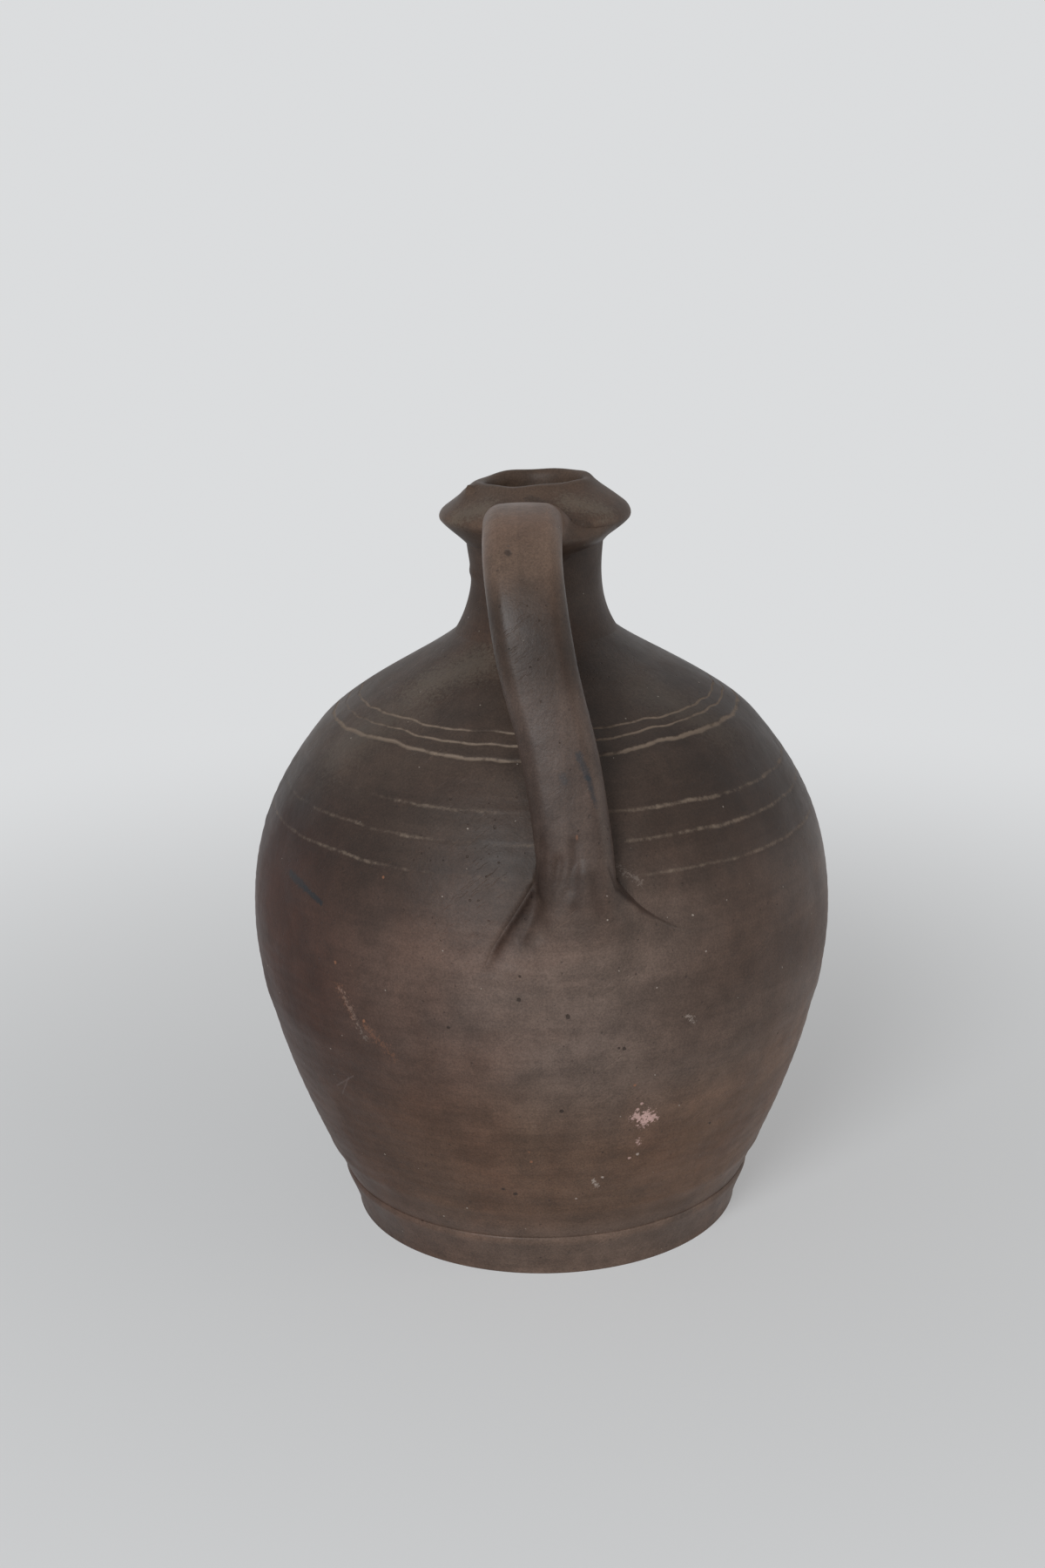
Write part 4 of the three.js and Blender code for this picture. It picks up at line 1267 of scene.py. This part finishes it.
def clay(name, roughness, marks=(), handle=False, grit=1.0):
    """Smoke-fired clay for one piece; the handle's has streaks along the strap."""
    made = bpy.data.materials.new(name)
    made.use_nodes = True
    made.node_tree.nodes.clear()
    n = Nodes(made.node_tree)
    place = n.add("ShaderNodeTexCoord").outputs["Object"]
    tone = n.group(TONE, {"Place": place, **BODY_TONES})["Color"]
    streaks = n.group(STREAKS, {"Place": place, "Stretch": BODY_STRETCH})
    drawn, tint = streaks["Height"], streaks["Tint"]
    specks = n.group(GRIT, {"Place": place, "Amount": grit})
    residue, wear_and_highlight, pulled, painted_shade = (
        n.add("ShaderNodeAttribute", attribute_name=mark_name).outputs["Fac"] for mark_name in MARKS
    )
    if handle:
        tone = n.mix(pulled, tone, n.group(TONE, {"Place": place, **STRAP_TONES})["Color"])
        strap = n.group(STREAKS, {"Place": place, "Stretch": STRAP_STRETCH})
        drawn = n.mix_value(pulled, drawn, strap["Height"])
        tint = n.mix_value(pulled, tint, strap["Tint"])
    tone = n.tint(1.0, tone, n.fade(tint, 0.0, 1.0, 0.92, 1.07))
    # Paler rims: rubbed wear, and on the foot's upper edge also a painted highlight.
    tone = n.tint(n.times(wear_and_highlight, 0.3), tone, WEAR_AND_HIGHLIGHT_TINT)
    # Painted shade in the handle's hollows and on the strap's left flank, from the fourth mark.
    shaded = n.times(painted_shade, n.fade(n.noise(place, 260.0, 4.0, 0.6), 0.2, 0.7, 0.6, 1.0))
    tone = n.tint(shaded, tone, PAINTED_SHADE_TINT)
    broken = n.noise(place, 430.0, 5.0, 0.72)
    patchy = n.maths("MULTIPLY_ADD", residue, 1.7, 0.5)
    broken = n.maths("MULTIPLY_ADD", n.minus(broken, 0.5), patchy, residue)
    crumbs = n.times(n.fade(broken, 0.15, 0.85), n.fade(residue, 0.04, 0.4))
    tone = n.mix(n.times(crumbs, 0.9), tone, RESIDUE)
    tone = n.mix(n.times(specks["Rust"], 0.7), tone, RUST)
    tone = n.tint(n.times(specks["Scuffs"], 0.3), tone, SCUFF_TINT)
    # Pits and pocks take the pit colour, which is painted shade inside them; grit is paled.
    for speck, share, colour in (("Pits", 0.7, PIT_SHADE), ("Pocks", 0.4, PIT_SHADE), ("Grit", 0.8, PALE_GRIT)):
        tone = n.mix(n.times(specks[speck], share), tone, colour)
    sunk = 0.0
    pattern = n.noise(place, 850.0, 4.0, 0.75)
    for start, end, width, raggedness, softness, colour, share in marks:
        values = {"Place": place, "From": start, "To": end, "Width": width}
        values.update({"Raggedness": raggedness, "Softness": softness, "Pattern": pattern})
        mask = n.times(n.group(MARK, values)["Mask"], share)
        tone = n.mix(mask, tone, colour)
        if colour is PIT_SHADE:
            sunk = n.plus(mask, sunk)
    grain = n.noise(place, 1500.0, 3.0, 0.6)
    lumps = n.noise(place, 240.0, 3.0, 0.55)
    height = 0.0
    for relief, depth in (
        (drawn, 0.06),
        (grain, 0.06),
        (lumps, 0.16),
        (specks["Pocks"], -0.2),
        (specks["Scuffs"], -0.08),
        (n.plus(specks["Pits"], sunk), -0.45),
        (specks["Grit"], 0.08),
        (crumbs, 0.1),
    ):
        height = n.plus(n.times(relief, depth), height)
    bump = n.add("ShaderNodeBump", {"Height": height, "Distance": 0.001, "Strength": 1.0})
    sheen = n.fade(n.noise(place, 30.0, 4.0, 0.6), 0.35, 0.65, -0.05, 0.07)
    sheen = n.plus(sheen, n.mix_value(pulled, roughness, 0.44))
    sheen = n.plus(sheen, n.times(n.maths("MAXIMUM", crumbs, shaded), 0.22), clamp=True)
    shader = n.add(
        "ShaderNodeBsdfPrincipled",
        {
            "Base Color": tone,
            "Roughness": sheen,
            "Specular IOR Level": 0.26,
            "Normal": bump.outputs[0],
        },
    )
    n.add("ShaderNodeOutputMaterial", {"Surface": shader.outputs[0]})
    return made


# Pieces with the CAD nodes that they stand for, and their finishes

tree = worked_tree()
strap_piece, upper_piece, lower_piece = make_handle()
handle_clay = clay("handle_clay", 0.5, HANDLE_MARKS, handle=True)
PIECES = (
    (make_foot(), "foot_base", "clay_foot", clay("foot_clay", 0.48, FOOT_MARKS)),
    (make_belly(), "belly_wall", "clay_belly", clay("belly_clay", 0.5, BELLY_MARKS)),
    (
        make_shoulder(),
        "shoulder_wall",
        "clay_shoulder",
        clay("shoulder_clay", 0.5, SHOULDER_MARKS, grit=1.4),
    ),
    (make_neck(), "neck", "clay_neck", clay("neck_clay", 0.55)),
    (make_collar(), "collar", "clay_neck", clay("mouth_clay", 0.53, MOUTH_MARKS)),
    (strap_piece, "handle_strap", "clay_handle", handle_clay),
    (upper_piece, "upper_handle_root", "clay_handle", handle_clay),
    (lower_piece, "lower_handle_root", "clay_belly", handle_clay),
)
for piece, node, slot, finish in PIECES:
    work_clay(piece, tree, finish)
    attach(piece, "root")
    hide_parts(node)

# Studio: a pale floor that melts into the backdrop, one soft lamp from the left front, and a weak fill

BACKDROP = (0.71, 0.72, 0.73, 1)


def pale_floor():
    made = bpy.data.materials.new("pale_floor")
    made.use_nodes = True
    made.node_tree.nodes.clear()
    n = Nodes(made.node_tree)
    place = n.add("ShaderNodeTexCoord").outputs["Object"]
    far = n.fade(n.vector("LENGTH", place), 0.12, 0.75, 0.42, 1.0)
    path = n.add("ShaderNodeLightPath").outputs
    seen = n.maths("MAXIMUM", path["Is Camera Ray"], path["Is Glossy Ray"])
    plain = n.add("ShaderNodeBsdfDiffuse", {"Color": (0.82, 0.82, 0.82, 1)})
    glow = n.add("ShaderNodeEmission", {"Color": BACKDROP, "Strength": 1.0})
    mixed = n.add("ShaderNodeMixShader")
    n.feed(mixed.inputs[0], n.times(far, seen))
    n.feed(mixed.inputs[1], plain.outputs[0])
    n.feed(mixed.inputs[2], glow.outputs[0])
    n.add("ShaderNodeOutputMaterial", {"Surface": mixed.outputs[0]})
    return made


floor_shape = bmesh.new()
bmesh.ops.create_circle(floor_shape, cap_ends=True, segments=96, radius=40)
floor_mesh = bpy.data.meshes.new("studio_floor")
floor_shape.to_mesh(floor_mesh)
floor_shape.free()
floor = bpy.data.objects.new("studio_floor", floor_mesh)
floor_mesh.materials.append(pale_floor())
bpy.context.scene.collection.objects.link(floor)


def lamp(name, place, size, power, colour):
    light = bpy.data.lights.new(name, "AREA")
    light.shape = "DISK"
    light.size = size
    light.energy = power
    light.color = colour
    made = bpy.data.objects.new(name, light)
    aim = Vector((0, 0, 0.15)) - Vector(place)
    made.matrix_world = Matrix.Translation(place) @ aim.to_track_quat("-Z", "Y").to_matrix().to_4x4()
    bpy.context.scene.collection.objects.link(made)


lamp("window", (-0.68, -1.84, 1.08), 0.9, 28, (0.94, 0.975, 1.0))
lamp("side_fill", (2.0, -0.45, 0.2), 1.4, 8, (1.0, 0.94, 0.86))

world = bpy.data.worlds.new("studio")
world.use_nodes = True
world.node_tree.nodes.clear()
w = Nodes(world.node_tree)
paths = w.add("ShaderNodeLightPath").outputs
behind = w.maths("MAXIMUM", paths["Is Camera Ray"], paths["Is Glossy Ray"])
behind = w.maths("MAXIMUM", behind, paths["Is Transmission Ray"])
fill = w.add("ShaderNodeBackground", {"Color": (1.0, 0.99, 0.98, 1), "Strength": 0.22})
seen = w.add("ShaderNodeBackground", {"Color": BACKDROP, "Strength": 1.0})
sky = w.add("ShaderNodeMixShader")
w.feed(sky.inputs[0], behind)
w.feed(sky.inputs[1], fill.outputs[0])
w.feed(sky.inputs[2], seen.outputs[0])
w.add("ShaderNodeOutputWorld", {"Surface": sky.outputs[0]})
bpy.context.scene.world = world


def corners(box):
    return [list(map(float, corner)) for corner in box]
